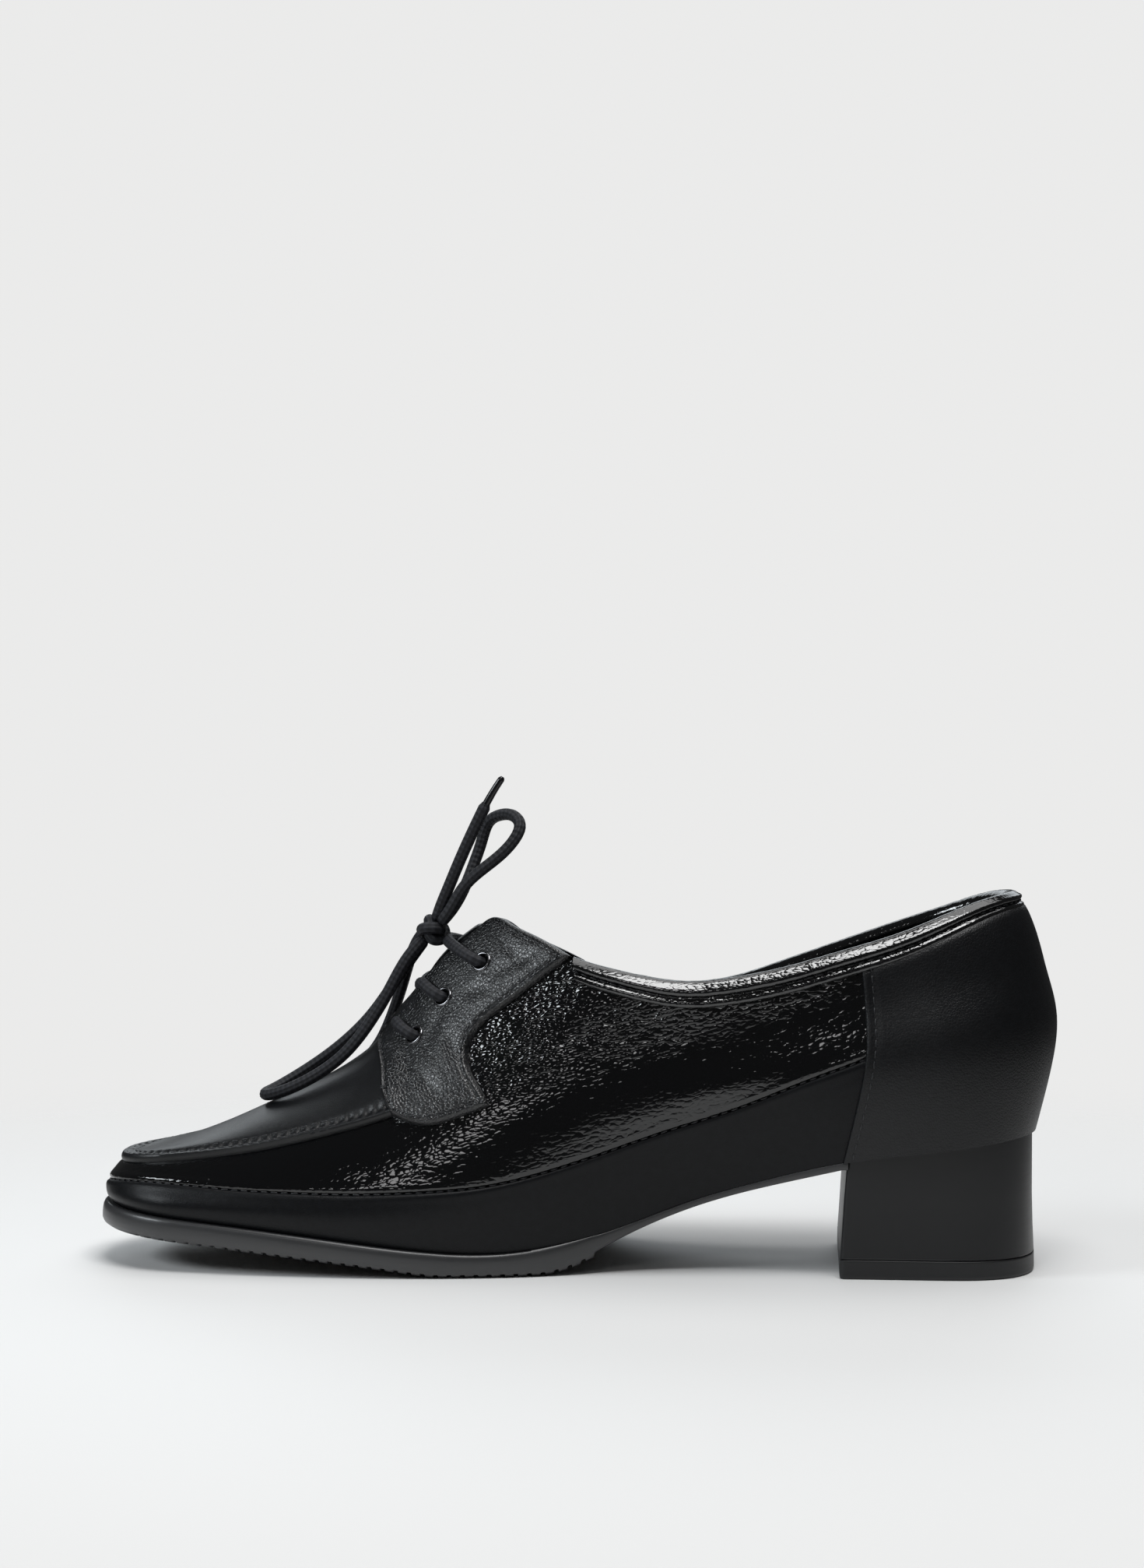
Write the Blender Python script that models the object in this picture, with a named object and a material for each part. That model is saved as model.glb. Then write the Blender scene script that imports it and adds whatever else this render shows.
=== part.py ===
"""Heeled derby shoe for the right foot, standing empty on the floor plane z = 0.

The toe points along -X and the heel along +X. The inner side of the foot is at -Y.
Every table and size below is in millimetres. A station is the distance forward from
the back of the heel. Meshes are made in metres.
"""
import math
from collections import namedtuple

import bpy
import numpy as np

MM = 0.001
HALF_LENGTH = 125.7
FIT_GAP = 0.3
OVERLAY_GAP = 0.5
INNER = -1
OUTER = 1

# The last, as five lines on each side that run from the heel's back to the toe.
# first and last are the stations of a line's two ends, heel_round and toe_round are
# how far its width takes to grow there, and the powers say how square the ends are.
Line = namedtuple("Line", "first last heel_round heel_power toe_round toe_power rows")
LineRow = namedtuple("LineRow", "station height inner outer")
FEATHER = Line(6.0, 249.6, 30.0, 2.5, 24.0, 2.3, [
    LineRow(6, 36.9, 25.0, 25.5),
    LineRow(30, 33.6, 26.5, 27.0),
    LineRow(54, 30.2, 25.5, 27.0),
    LineRow(75, 24.8, 22.0, 27.0),
    LineRow(95, 18.6, 21.0, 28.0),
    LineRow(115, 11.2, 25.0, 32.0),
    LineRow(135, 6.6, 31.5, 37.0),
    LineRow(155, 6.0, 36.0, 39.0),
    LineRow(175, 8.0, 37.5, 38.0),
    LineRow(200, 11.0, 35.5, 34.5),
    LineRow(225, 13.4, 30.0, 28.5),
    LineRow(249.6, 15.4, 23.0, 21.5),
])
WALL = Line(0.9, 251.4, 34.0, 2.3, 25.0, 2.3, [
    LineRow(0.9, 59.0, 27.5, 28.0),
    LineRow(30, 56.0, 29.5, 30.0),
    LineRow(60, 50.0, 29.5, 31.5),
    LineRow(95, 40.0, 29.0, 33.0),
    LineRow(125, 29.0, 33.0, 38.0),
    LineRow(150, 20.5, 38.5, 41.5),
    LineRow(175, 17.5, 40.0, 40.5),
    LineRow(200, 17.5, 37.5, 36.5),
    LineRow(225, 18.0, 32.0, 30.5),
    LineRow(251.4, 18.6, 24.5, 23.0),
])
SHOULDER = Line(3.6, 247.4, 32.0, 2.2, 16.0, 2.6, [
    LineRow(3.6, 79.0, 24.0, 24.5),
    LineRow(30, 76.0, 25.0, 25.5),
    LineRow(60, 69.0, 27.0, 28.0),
    LineRow(95, 60.0, 28.5, 30.5),
    LineRow(125, 57.0, 30.0, 32.5),
    LineRow(150, 49.0, 31.0, 32.5),
    LineRow(173, 40.0, 30.0, 30.5),
    LineRow(190, 35.0, 28.5, 28.0),
    LineRow(207, 31.0, 26.0, 25.0),
    LineRow(223, 28.5, 22.5, 21.0),
    LineRow(247.4, 25.8, 14.5, 13.0),
])
CROWN = Line(14.0, 241.4, 28.0, 2.0, 12.0, 2.2, [
    LineRow(14.0, 102.0, 17.5, 17.5),
    LineRow(30, 100.0, 18.5, 18.5),
    LineRow(60, 98.0, 21.0, 21.0),
    LineRow(95, 90.0, 24.5, 25.0),
    LineRow(125, 84.0, 22.0, 22.5),
    LineRow(140, 80.0, 18.5, 18.5),
    LineRow(150, 74.5, 17.0, 17.0),
    LineRow(160, 66.0, 16.5, 16.5),
    LineRow(173, 53.0, 16.5, 16.5),
    LineRow(190, 43.2, 15.5, 15.5),
    LineRow(207, 36.9, 14.0, 13.5),
    LineRow(223, 31.4, 12.0, 11.5),
    LineRow(241.4, 26.7, 8.0, 7.5),
])
RIDGE = Line(34.0, 234.0, 20.0, 2.0, 10.0, 2.0, [
    LineRow(34, 118.0, 0, 0),
    LineRow(60, 120.0, 0, 0),
    LineRow(95, 119.0, 0, 0),
    LineRow(125, 110.0, 0, 0),
    LineRow(140, 98.5, 0, 0),
    LineRow(150, 90.6, 0, 0),
    LineRow(157, 85.4, 0, 0),
    LineRow(163, 79.5, 0, 0),
    LineRow(168, 72.0, 0, 0),
    LineRow(173, 63.5, 0, 0),
    LineRow(178, 56.6, 0, 0),
    LineRow(184, 51.4, 0, 0),
    LineRow(190, 47.6, 0, 0),
    LineRow(200, 42.6, 0, 0),
    LineRow(210, 38.0, 0, 0),
    LineRow(220, 33.6, 0, 0),
    LineRow(234, 28.4, 0, 0),
])
LAST_LINES = [FEATHER, WALL, SHOULDER, CROWN, RIDGE]
RISES = [1.0, 0.8, 0.5, 0.25, 0.0]

# How far the middle of the shoe lies to the side at each station.
CentreRow = namedtuple("CentreRow", "station side")
CENTRE = [
    CentreRow(0, -5.0),
    CentreRow(60, -5.0),
    CentreRow(100, -4.0),
    CentreRow(150, -1.0),
    CentreRow(175, -1.0),
    CentreRow(200, -2.5),
    CentreRow(225, -5.0),
    CentreRow(252, -7.5),
]

# Height of the wall's upper edge on the inner and the outer side.
TopRow = namedtuple("TopRow", "station inner outer")
TOPLINE = [
    TopRow(5, 97.8, 97.8),
    TopRow(14, 96.9, 96.7),
    TopRow(25, 93.7, 92.9),
    TopRow(40, 87.8, 87.5),
    TopRow(56, 82.9, 81.7),
    TopRow(72, 78.4, 75.8),
    TopRow(84, 76.1, 71.8),
    TopRow(96, 75.1, 70.0),
    TopRow(112, 77.6, 72.0),
    TopRow(126, 81.4, 75.9),
    TopRow(135, 85.4, 80.6),
    TopRow(142, 88.0, 84.5),
    TopRow(148, 89.3, 88.0),
    TopRow(156, 90.5, 90.5),
]
# Half the width of the throat's slot between the two front edges of the wall.
SlotRow = namedtuple("SlotRow", "station half")
SLOT = [
    SlotRow(140, 7.5),
    SlotRow(152, 7.5),
    SlotRow(165, 6.0),
    SlotRow(171, 3.6),
    SlotRow(174, 0.0),
]

WALL_THICK = 2.0
OVERLAY_THICK = 1.2
FACING_THICK = 1.3
LENGTH_STEPS = 66
RISE_STEPS = 8
# How finely a place on the last is looked for, and how far inside its ends normals are taken.
SEARCH_STEPS = 241
SEARCH_ROUNDS = 12
SEARCH_FIRST = 36.0
SEARCH_LAST = 233.0
EDGE_STEPS = 2001
NORMAL_FIRST = 0.004
NORMAL_LAST = 0.994

# The sole under the last: its underside and how far its rim stands out.
SoleRow = namedtuple("SoleRow", "station underside rim")
SOLE = [
    SoleRow(55, 28.0, 0.2),
    SoleRow(72, 23.6, 0.2),
    SoleRow(88, 19.0, 0.2),
    SoleRow(104, 13.0, 0.3),
    SoleRow(116, 7.2, 0.4),
    SoleRow(124, 2.9, 0.8),
    SoleRow(131, 0.6, 1.2),
    SoleRow(137, -0.1, 1.4),
    SoleRow(159, -0.1, 1.6),
    SoleRow(174, 1.9, 1.8),
    SoleRow(192, 4.0, 1.8),
    SoleRow(208, 5.7, 1.8),
    SoleRow(225, 7.3, 1.8),
    SoleRow(240, 8.5, 1.8),
    SoleRow(252, 9.4, 1.8),
]
SOLE_START = 54.8
SOLE_END = 250.0
TREAD_START = 119.0
TREAD_FLAT = 137.0
TREAD_END = 240.0
RIB_PITCH = 3.4
RIB_LAND = 2.0
RIB_SLOPE = 0.25
RIB_DEPTH = 0.9
TREAD_STEP = 1.0
TOE_SHARES = [0.0, 0.25, 0.45, 0.62, 0.76, 0.87, 0.95]
# One half of the sole's section: share of the rim's reach, set-in from the feather
# line, share of the height, and how far this line runs past the others at the toe.
RimRow = namedtuple("RimRow", "rim inset height reach")
SOLE_RIM = [
    RimRow(0.35, 0.0, 1.0, 1.2),
    RimRow(1.0, 0.0, 0.72, 2.2),
    RimRow(1.0, 0.0, 0.34, 2.4),
    RimRow(0.0, 0.8, 0.0, 0.0),
]

# The heel, as D-shaped outlines from the floor up: height, the stations of its back
# and its breast, half widths, and whether it follows the slope of the heel seat.
HeelRow = namedtuple("HeelRow", "height back breast inner outer seat")
HEEL_BLOCK = [
    HeelRow(5.3, 4.9, 55.8, 25.6, 26.6, False),
    HeelRow(12.0, 5.2, 55.4, 25.2, 26.2, False),
    HeelRow(20.0, 5.4, 54.9, 25.0, 26.0, False),
    HeelRow(29.9, 5.4, 54.1, 25.2, 26.4, True),
]
TOP_LIFT = [
    HeelRow(0.0, 5.2, 55.9, 25.4, 26.4, False),
    HeelRow(0.8, 4.7, 56.2, 25.9, 26.9, False),
    HeelRow(5.0, 4.7, 56.2, 25.9, 26.9, False),
]
HEEL_ROUND = 26.0
HEEL_POWER = 2.7
HEEL_STEPS = 15
HEEL_BACK_WIDTH = 0.02

INSOLE_THICK = 2.5
INSOLE_INSET = 2.9
INSOLE_STEPS = 36
INSOLE_TIP = 0.03

COUNTER_FRONT_LOW = 54.5
COUNTER_FRONT_HIGH = 50.0
COUNTER_LOW_HEIGHT = 34.0
COUNTER_HIGH_HEIGHT = 76.0
COUNTER_STEPS = 29
COUNTER_ROWS = 7
BINDING_DROP = 6.0
BINDING_END = 124.5
BINDING_STEPS = 43
# The binding's section: climb past the wall's edge and stand-off from its outer face.
BindRow = namedtuple("BindRow", "climb out")
BINDING = [
    BindRow(-BINDING_DROP, 0.4),
    BindRow(-BINDING_DROP, 1.0),
    BindRow(-4.0, 1.5),
    BindRow(-0.6, 1.9),
    BindRow(1.1, 0.9),
    BindRow(1.4, -1.0),
    BindRow(1.1, -2.9),
    BindRow(-0.6, -3.6),
    BindRow(-4.5, -3.0),
    BindRow(-4.5, -2.4),
    BindRow(0.4, -2.4),
    BindRow(0.4, 0.4),
]

# A facing's four sides in side view. The throat side is given by its half gap.
EdgeRow = namedtuple("EdgeRow", "station height")
GapRow = namedtuple("GapRow", "station half")
FACING_FRONT = [
    EdgeRow(171.5, 40.6),
    EdgeRow(174.2, 44.5),
    EdgeRow(175.4, 50.0),
]
FACING_THROAT = [
    GapRow(176.4, 3.0),
    GapRow(172, 4.2),
    GapRow(166, 6.0),
    GapRow(159, 7.2),
    GapRow(151.5, 7.6),
]
FACING_TOP_INNER = [
    EdgeRow(146.5, 90.2),
    EdgeRow(141.8, 89.4),
    EdgeRow(135.4, 86.9),
    EdgeRow(125.3, 82.0),
]
FACING_TOP_OUTER = [
    EdgeRow(147.0, 88.8),
    EdgeRow(141.8, 86.0),
    EdgeRow(135.4, 82.2),
    EdgeRow(125.3, 76.8),
]
FACING_BACK_INNER = [
    EdgeRow(131.5, 77.4),
    EdgeRow(143.8, 68.0),
    EdgeRow(149.5, 63.0),
    EdgeRow(152.0, 57.4),
    EdgeRow(151.0, 52.4),
    EdgeRow(148.0, 48.0),
    EdgeRow(145.6, 44.2),
]
FACING_BACK_OUTER = [
    EdgeRow(131.5, 73.0),
    EdgeRow(143.8, 65.5),
    EdgeRow(149.5, 61.5),
    EdgeRow(152.0, 56.8),
    EdgeRow(151.0, 52.2),
    EdgeRow(148.0, 48.0),
    EdgeRow(145.6, 44.2),
]
FACING_BOTTOM = [
    EdgeRow(155.0, 40.6),
    EdgeRow(163.5, 38.8),
]
FACING_STEPS = 14
FACING_ROWS = 7
EYELETS = [
    EdgeRow(149.0, 79.0),
    EdgeRow(159.2, 69.6),
    EdgeRow(166.5, 59.6),
]
EYELET_OUTER = 2.8
EYELET_INNER = 2.0
EYELET_TALL = 0.8
EYELET_SOFT = 0.3
EYELET_STAND = OVERLAY_GAP + FACING_THICK + FIT_GAP
EYELET_SIDES = 12

APRON_BACK = 177.8
APRON_RISE = 0.5
APRON_LEAN = 2.2
APRON_STEPS = 23
APRON_ROWS = 10

# The tongue under the throat: stations of its two ends along the ridge.
TONGUE_LOW = 181.0
TONGUE_HIGH = 147.0
TONGUE_RISE = 0.27
TONGUE_THICK = 1.8
TONGUE_GAP = 1.0
TONGUE_STEPS = 13
TONGUE_ROWS = 8

LACE_THICK = 3.2
AGLET_THICK = 2.0
LACE_STAND = EYELET_STAND + EYELET_TALL + FIT_GAP + LACE_THICK / 2
# Middles of the three bars on the ridge: station, and height over the skin there.
BarRow = namedtuple("BarRow", "station lift")
LACE_BARS = [
    BarRow(157.5, 2.6),
    BarRow(166.4, 3.2),
    BarRow(172.6, 4.2),
]
LACE_EDGE_STAND = 4.4
# Route points of the bow, as station, side and height.
RouteRow = namedtuple("RouteRow", "station side height")
KNOT_PLACE = RouteRow(164.6, -3.0, 87.6)
KNOT_RADII = RouteRow(4.0, 5.6, 3.8)
KNOT_RINGS = 9
KNOT_SIDES = 14
KNOT_TIP = 0.97
LOOP_UP = [
    RouteRow(161.5, -6.9, 89.9),
    RouteRow(159.4, -7.2, 91.5),
    RouteRow(154.3, -6.0, 99.1),
    RouteRow(147.6, -3.0, 104.8),
    RouteRow(142.7, 0.0, 110.9),
    RouteRow(141.0, 2.0, 115.1),
    RouteRow(143.3, 4.0, 117.7),
    RouteRow(147.0, 5.0, 117.7),
    RouteRow(150.2, 5.5, 115.9),
    RouteRow(152.3, 5.0, 110.7),
    RouteRow(154.5, 4.0, 104.0),
    RouteRow(156.6, 2.4, 98.2),
    RouteRow(159.8, 1.4, 92.4),
    RouteRow(161.9, 0.9, 90.3),
]
END_UP = [
    RouteRow(163.9, -3.9, 91.7),
    RouteRow(163.0, -4.4, 94.4),
    RouteRow(160.6, -5.6, 99.0),
    RouteRow(157.6, -7.0, 103.7),
    RouteRow(153.1, -8.4, 113.5),
    RouteRow(149.3, -9.4, 121.2),
]
AGLET_UP = [
    RouteRow(149.1, -9.5, 121.7),
    RouteRow(147.0, -9.8, 125.0),
    RouteRow(144.8, -10.0, 128.3),
]
LOOP_FRONT = [
    RouteRow(167.9, -0.9, 85.2),
    RouteRow(170.6, -0.6, 82.9),
    RouteRow(176.4, 0.2, 75.0),
    RouteRow(182.2, 0.5, 65.8),
    RouteRow(189.6, 0.5, 57.0),
    RouteRow(198.7, 0.5, 50.0),
    RouteRow(206.9, 0.0, 44.9),
    RouteRow(210.2, -3.0, 43.2),
    RouteRow(206.4, -6.4, 44.2),
    RouteRow(195.6, -7.4, 48.8),
    RouteRow(188.0, -8.0, 54.4),
    RouteRow(181.4, -8.2, 63.6),
    RouteRow(177.2, -7.8, 72.6),
    RouteRow(171.8, -6.4, 82.6),
    RouteRow(167.9, -5.6, 85.5),
]
END_FAR = [
    RouteRow(166.5, 2.4, 87.1),
    RouteRow(168.6, 5.2, 85.6),
    RouteRow(173.6, 10.0, 74.0),
    RouteRow(178.6, 17.0, 61.2),
    RouteRow(185.0, 22.5, 51.0),
    RouteRow(195.0, 24.0, 43.8),
    RouteRow(205.0, 23.0, 39.2),
]
AGLET_FAR = [
    RouteRow(205.6, 22.9, 39.0),
    RouteRow(210.0, 21.9, 37.6),
    RouteRow(214.4, 20.8, 36.2),
]
CORD_STEP = 7.0

# Finishes, and which one each piece has by how its name starts.
Finish = namedtuple("Finish", "red green blue roughness metallic")
PATENT_LEATHER = Finish(0.018, 0.018, 0.022, 0.12, 0.0)
SMOOTH_LEATHER = Finish(0.024, 0.025, 0.028, 0.45, 0.0)
GRAINED_LEATHER = Finish(0.022, 0.022, 0.025, 0.5, 0.0)
INSOLE_LEATHER = Finish(0.03, 0.03, 0.032, 0.7, 0.0)
SOLE_RUBBER = Finish(0.03, 0.03, 0.031, 0.65, 0.0)
HEEL_PLASTIC = Finish(0.026, 0.027, 0.03, 0.4, 0.0)
EYELET_METAL = Finish(0.62, 0.62, 0.64, 0.25, 1.0)
LACE_CORD = Finish(0.022, 0.022, 0.025, 0.75, 0.0)
AGLET_PLASTIC = Finish(0.02, 0.02, 0.022, 0.25, 0.0)
PIECE_FINISHES = {
    "upper": PATENT_LEATHER,
    "collar": PATENT_LEATHER,
    "apron": SMOOTH_LEATHER,
    "heel_counter": SMOOTH_LEATHER,
    "tongue": SMOOTH_LEATHER,
    "facing": GRAINED_LEATHER,
    "insole": INSOLE_LEATHER,
    "outsole": SOLE_RUBBER,
    "heel_top": SOLE_RUBBER,
    "heel_block": HEEL_PLASTIC,
    "eyelet": EYELET_METAL,
    "lace": LACE_CORD,
    "aglet": AGLET_PLASTIC,
}
SHARP_EDGE = math.radians(40)


def spline(knots, values, at):
    """Natural cubic spline through the values, held at its end values outside."""
    knots = np.asarray(knots, float)
    values = np.asarray(values, float)
    count = len(knots)
    widths = np.diff(knots)
    system = np.eye(count)
    right = np.zeros_like(values)
    for i in range(1, count - 1):
        system[i, i - 1:i + 2] = widths[i - 1], 2 * (widths[i - 1] + widths[i]), widths[i]
        right[i] = 6 * ((values[i + 1] - values[i]) / widths[i]
                        - (values[i] - values[i - 1]) / widths[i - 1])
    bends = np.linalg.solve(system, right)
    at = np.clip(np.asarray(at, float), knots[0], knots[-1])
    k = np.clip(np.searchsorted(knots, at) - 1, 0, count - 2)
    wide = widths[k]
    low = (knots[k + 1] - at) / wide
    high = 1 - low
    bend = (low ** 3 - low) * bends[k] + (high ** 3 - high) * bends[k + 1]
    return low * values[k] + high * values[k + 1] + bend * wide ** 2 / 6


def column(rows, name, at):
    """A named column of a table, read smoothly at the stations given."""
    return spline([row[0] for row in rows], [getattr(row, name) for row in rows], at)


def end_round(inside, reach, power):
    """Grows from 0 at a line's end to 1 at its reach, as a squared-off round."""
    left = 1 - np.clip(inside / reach, 0, 1)
    return (1 - left ** power) ** (1 / power)


def half_width(line, station, side):
    """Half width of one line of the last on one side."""
    wide = column(line.rows, "inner" if side == INNER else "outer", station)
    heel = end_round(station - line.first, line.heel_round, line.heel_power)
    toe = end_round(line.last - station, line.toe_round, line.toe_power)
    return wide * heel * toe


def line_points(line, side, t):
    """Points of one line of the last, t running from 0 at the heel to 1 at the toe."""
    station = line.first + (line.last - line.first) * (1 - np.cos(math.pi * t)) / 2
    wide = half_width(line, station, side)
    across = column(CENTRE, "side", station) + side * wide
    return np.stack([HALF_LENGTH - station, across, column(line.rows, "height", station)], -1)


def section_bends(knots):
    """Matrix that takes a section's points to the bends of its natural spline."""
    count = len(knots)
    widths = np.diff(knots)
    system = np.eye(count)
    right = np.zeros((count, count))
    for i in range(1, count - 1):
        system[i, i - 1:i + 2] = widths[i - 1], 2 * (widths[i - 1] + widths[i]), widths[i]
        right[i, i - 1] = 6 / widths[i - 1]
        right[i, i + 1] = 6 / widths[i]
        right[i, i] = -right[i, i - 1] - right[i, i + 1]
    return np.linalg.solve(system, right)


RISE_KNOTS = np.array([-rise for rise in RISES] + RISES[-2::-1])
RISE_BENDS = section_bends(RISE_KNOTS)


def last_point(t, rise):
    """Points of the last. Rise is -1 at the inner feather line, 0 on the ridge, 1 outside."""
    t, rise = np.broadcast_arrays(np.asarray(t, float), np.asarray(rise, float))
    points = [line_points(line, INNER, t) for line in LAST_LINES]
    points += [line_points(line, OUTER, t) for line in LAST_LINES[-2::-1]]
    points = np.stack(points)
    bends = np.tensordot(RISE_BENDS, points, 1)
    k = np.clip(np.searchsorted(RISE_KNOTS, rise) - 1, 0, len(RISE_KNOTS) - 2)
    wide = np.diff(RISE_KNOTS)[k][..., None]
    low = (RISE_KNOTS[k + 1] - rise)[..., None] / wide
    high = 1 - low

    def pick(values, index):
        return np.take_along_axis(values, index[None, ..., None], 0)[0]

    bend = (low ** 3 - low) * pick(bends, k) + (high ** 3 - high) * pick(bends, k + 1)
    return low * pick(points, k) + high * pick(points, k + 1) + bend * wide ** 2 / 6


def side_normal(t, rise):
    """Normals from small steps along and across the last, taken just inside its ends."""
    small = 1e-4
    inside = np.clip(t, NORMAL_FIRST, NORMAL_LAST)
    along = last_point(inside + small, rise) - last_point(inside - small, rise)
    up = last_point(inside, rise + small) - last_point(inside, rise - small)
    normal = np.cross(up, along)
    return normal / np.linalg.norm(normal, axis=-1, keepdims=True)


def last_normal(t, rise):
    """Outward normals of the last."""
    t, rise = np.broadcast_arrays(np.asarray(t, float), np.asarray(rise, float))
    normal = side_normal(t, rise)
    mirrored = side_normal(t, -rise) * np.array([1, -1, 1])
    at_end = ((t <= 0) | (t >= 1))[..., None]
    normal = np.where(at_end, (normal + mirrored) * np.array([1, 0, 1]), normal)
    return normal / np.linalg.norm(normal, axis=-1, keepdims=True)


def skin(t, rise, stand):
    """Points that stand off the last's surface by a distance."""
    return last_point(t, rise) + last_normal(t, rise) * np.asarray(stand)[..., None]


def ridge_t(station):
    """The t whose ridge point lies at a station."""
    share = (station - RIDGE.first) / (RIDGE.last - RIDGE.first)
    return np.arccos(1 - 2 * np.clip(share, 0, 1)) / math.pi


def place(station, side, measure, wanted):
    """Finds (t, rise) at a station where a measure of the point has the value wanted."""
    t = ridge_t(min(max(station, SEARCH_FIRST), SEARCH_LAST))
    rises = np.linspace(0.0, 1.0, SEARCH_STEPS) * side
    for _ in range(SEARCH_ROUNDS):
        points = last_point(np.full_like(rises, t), rises)
        values = measure(points) - wanted
        change = np.nonzero(np.diff(np.sign(values)))[0]
        i = change[0] if len(change) else int(np.argmin(np.abs(values[:-1])))
        step = values[i + 1] - values[i]
        share = np.clip(-values[i] / step if step else 0.0, 0, 1)
        rise = rises[i] + share * (rises[i + 1] - rises[i])
        here = HALF_LENGTH - last_point(t, rise)[0]
        ahead = HALF_LENGTH - last_point(min(t + 1e-3, 1.0), rise)[0]
        t = float(np.clip(t + (station - here) * 1e-3 / max(ahead - here, 1e-3), 0.0, 1.0))
    return t, rise


def place_height(station, height, side):
    """(t, rise) of the point at a station and a height."""
    return place(station, side, lambda points: points[:, 2], height)


def place_gap(station, half, side):
    """(t, rise) of the point at a station and a distance beside the ridge."""
    def aside(points):
        return np.abs(points[:, 1] - column(CENTRE, "side", HALF_LENGTH - points[:, 0]))
    return place(station, side, aside, half)


def edge_rise(t, side):
    """Rise of the wall's upper edge at t: the collar, then the slot, then the ridge."""
    name = "inner" if side == INNER else "outer"
    rises = np.linspace(0.0, 1.0, EDGE_STEPS)
    points = last_point(np.full_like(rises, t), rises * side)
    station = HALF_LENGTH - points[:, 0]
    over_top = points[:, 2] > column(TOPLINE, name, station)
    over_top &= station < TOPLINE[-1].station
    aside = np.abs(points[:, 1] - column(CENTRE, "side", station))
    in_slot = aside < column(SLOT, "half", station)
    in_slot &= (station > SLOT[0].station) & (station < SLOT[-1].station)
    outside = np.nonzero(over_top | in_slot)[0]
    return rises[outside[-1]] if len(outside) else 0.0


def clear_scene():
    """Removes every object."""
    for thing in list(bpy.data.objects):
        bpy.data.objects.remove(thing, do_unlink=True)


def add_object(name, points, faces):
    """A mesh object from points in millimetres, with doubled points joined."""
    keys = {}
    index = []
    kept = []
    for point in np.asarray(points):
        key = tuple(np.round(point, 4))
        if key not in keys:
            keys[key] = len(kept)
            kept.append(point * MM)
        index.append(keys[key])
    joined = []
    for face in faces:
        ring = [index[i] for i in face]
        ring = [v for n, v in enumerate(ring) if v != ring[n - 1]]
        if len(ring) > 2:
            joined.append(ring)
    mesh = bpy.data.meshes.new(name)
    mesh.from_pydata([tuple(point) for point in kept], [], joined)
    mesh.update()
    thing = bpy.data.objects.new(name, mesh)
    bpy.context.collection.objects.link(thing)
    return thing


def grid_faces(rows, columns, start=0, flip=False):
    """Quads of a grid of points kept row by row."""
    faces = []
    for i in range(rows - 1):
        for j in range(columns - 1):
            a = start + i * columns + j
            ring = [a, a + columns, a + columns + 1, a + 1]
            faces.append(ring[::-1] if flip else ring)
    return faces


def rim_faces(path, offset, flip=False):
    """Quads between a row of points and the same row further on by an offset."""
    faces = []
    for a, b in zip(path[:-1], path[1:]):
        ring = [a, b, b + offset, a + offset]
        faces.append(ring[::-1] if flip else ring)
    return faces


def patch(name, t, rise, low, high, zipped=False):
    """A curved plate over a grid of (t, rise), between two distances off the last.

    A zipped plate has its last row folded onto itself at the toe, so no rim is made there.
    """
    rows, columns = t.shape
    points = [skin(t, rise, np.full_like(t, stand)).reshape(-1, 3) for stand in (low, high)]
    points = np.concatenate(points)
    count = rows * columns
    faces = grid_faces(rows, columns) + grid_faces(rows, columns, count, True)
    first = list(range(columns))
    last = [count - columns + j for j in range(columns)]
    left = [i * columns for i in range(rows)]
    right = [i * columns + columns - 1 for i in range(rows)]
    faces += rim_faces(first, count, False)
    if not zipped:
        faces += rim_faces(last, count, True)
    faces += rim_faces(left, count, True) + rim_faces(right, count, False)
    return face_outward(add_object(name, points, faces))


def face_outward(thing):
    """Turns a closed mesh right side out by the sign of its volume."""
    mesh = thing.data
    mesh.calc_loop_triangles()
    corners = np.array([[mesh.vertices[v].co for v in tri.vertices] for tri in mesh.loop_triangles])
    volume = np.einsum("ij,ij->i", corners[:, 0], np.cross(corners[:, 1], corners[:, 2])).sum()
    if volume < 0:
        mesh.flip_normals()
    return thing


def edge_pair(t):
    """Upper edges of the inner and the outer half, made to meet at the heel's back."""
    inner = np.array([edge_rise(each, INNER) for each in t])
    outer = np.array([edge_rise(each, OUTER) for each in t])
    inner[t <= 0] = outer[t <= 0] = (inner[0] + outer[0]) / 2
    return inner, outer


def build_upper():
    """The hollow wall: two halves from feather line to upper edge, joined at both ends and the ridge."""
    t = np.linspace(0, 1, LENGTH_STEPS + 1)
    share = np.linspace(0, 1, RISE_STEPS + 1)
    points = []
    faces = []
    count = (LENGTH_STEPS + 1) * (RISE_STEPS + 1)
    for side, edge in zip((INNER, OUTER), edge_pair(t)):
        rise = side * (1 + (edge[:, None] - 1) * share[None, :])
        grid_t = np.repeat(t[:, None], RISE_STEPS + 1, 1)
        start = len(points) * count
        points.append(skin(grid_t, rise, np.zeros_like(rise)).reshape(-1, 3))
        points.append(skin(grid_t, rise, np.full_like(rise, -WALL_THICK)).reshape(-1, 3))
        turn = side == OUTER
        faces += grid_faces(LENGTH_STEPS + 1, RISE_STEPS + 1, start, turn)
        faces += grid_faces(LENGTH_STEPS + 1, RISE_STEPS + 1, start + count, not turn)
        low = [start + i * (RISE_STEPS + 1) for i in range(LENGTH_STEPS + 1)]
        faces += rim_faces(low, count, not turn)
        opened = [i for i in range(LENGTH_STEPS + 1) if edge[i] > 0]
        high = [start + i * (RISE_STEPS + 1) + RISE_STEPS for i in range(opened[-1] + 2)]
        faces += rim_faces(high, count, turn)
    return face_outward(add_object("upper", np.concatenate(points), faces))


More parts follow.
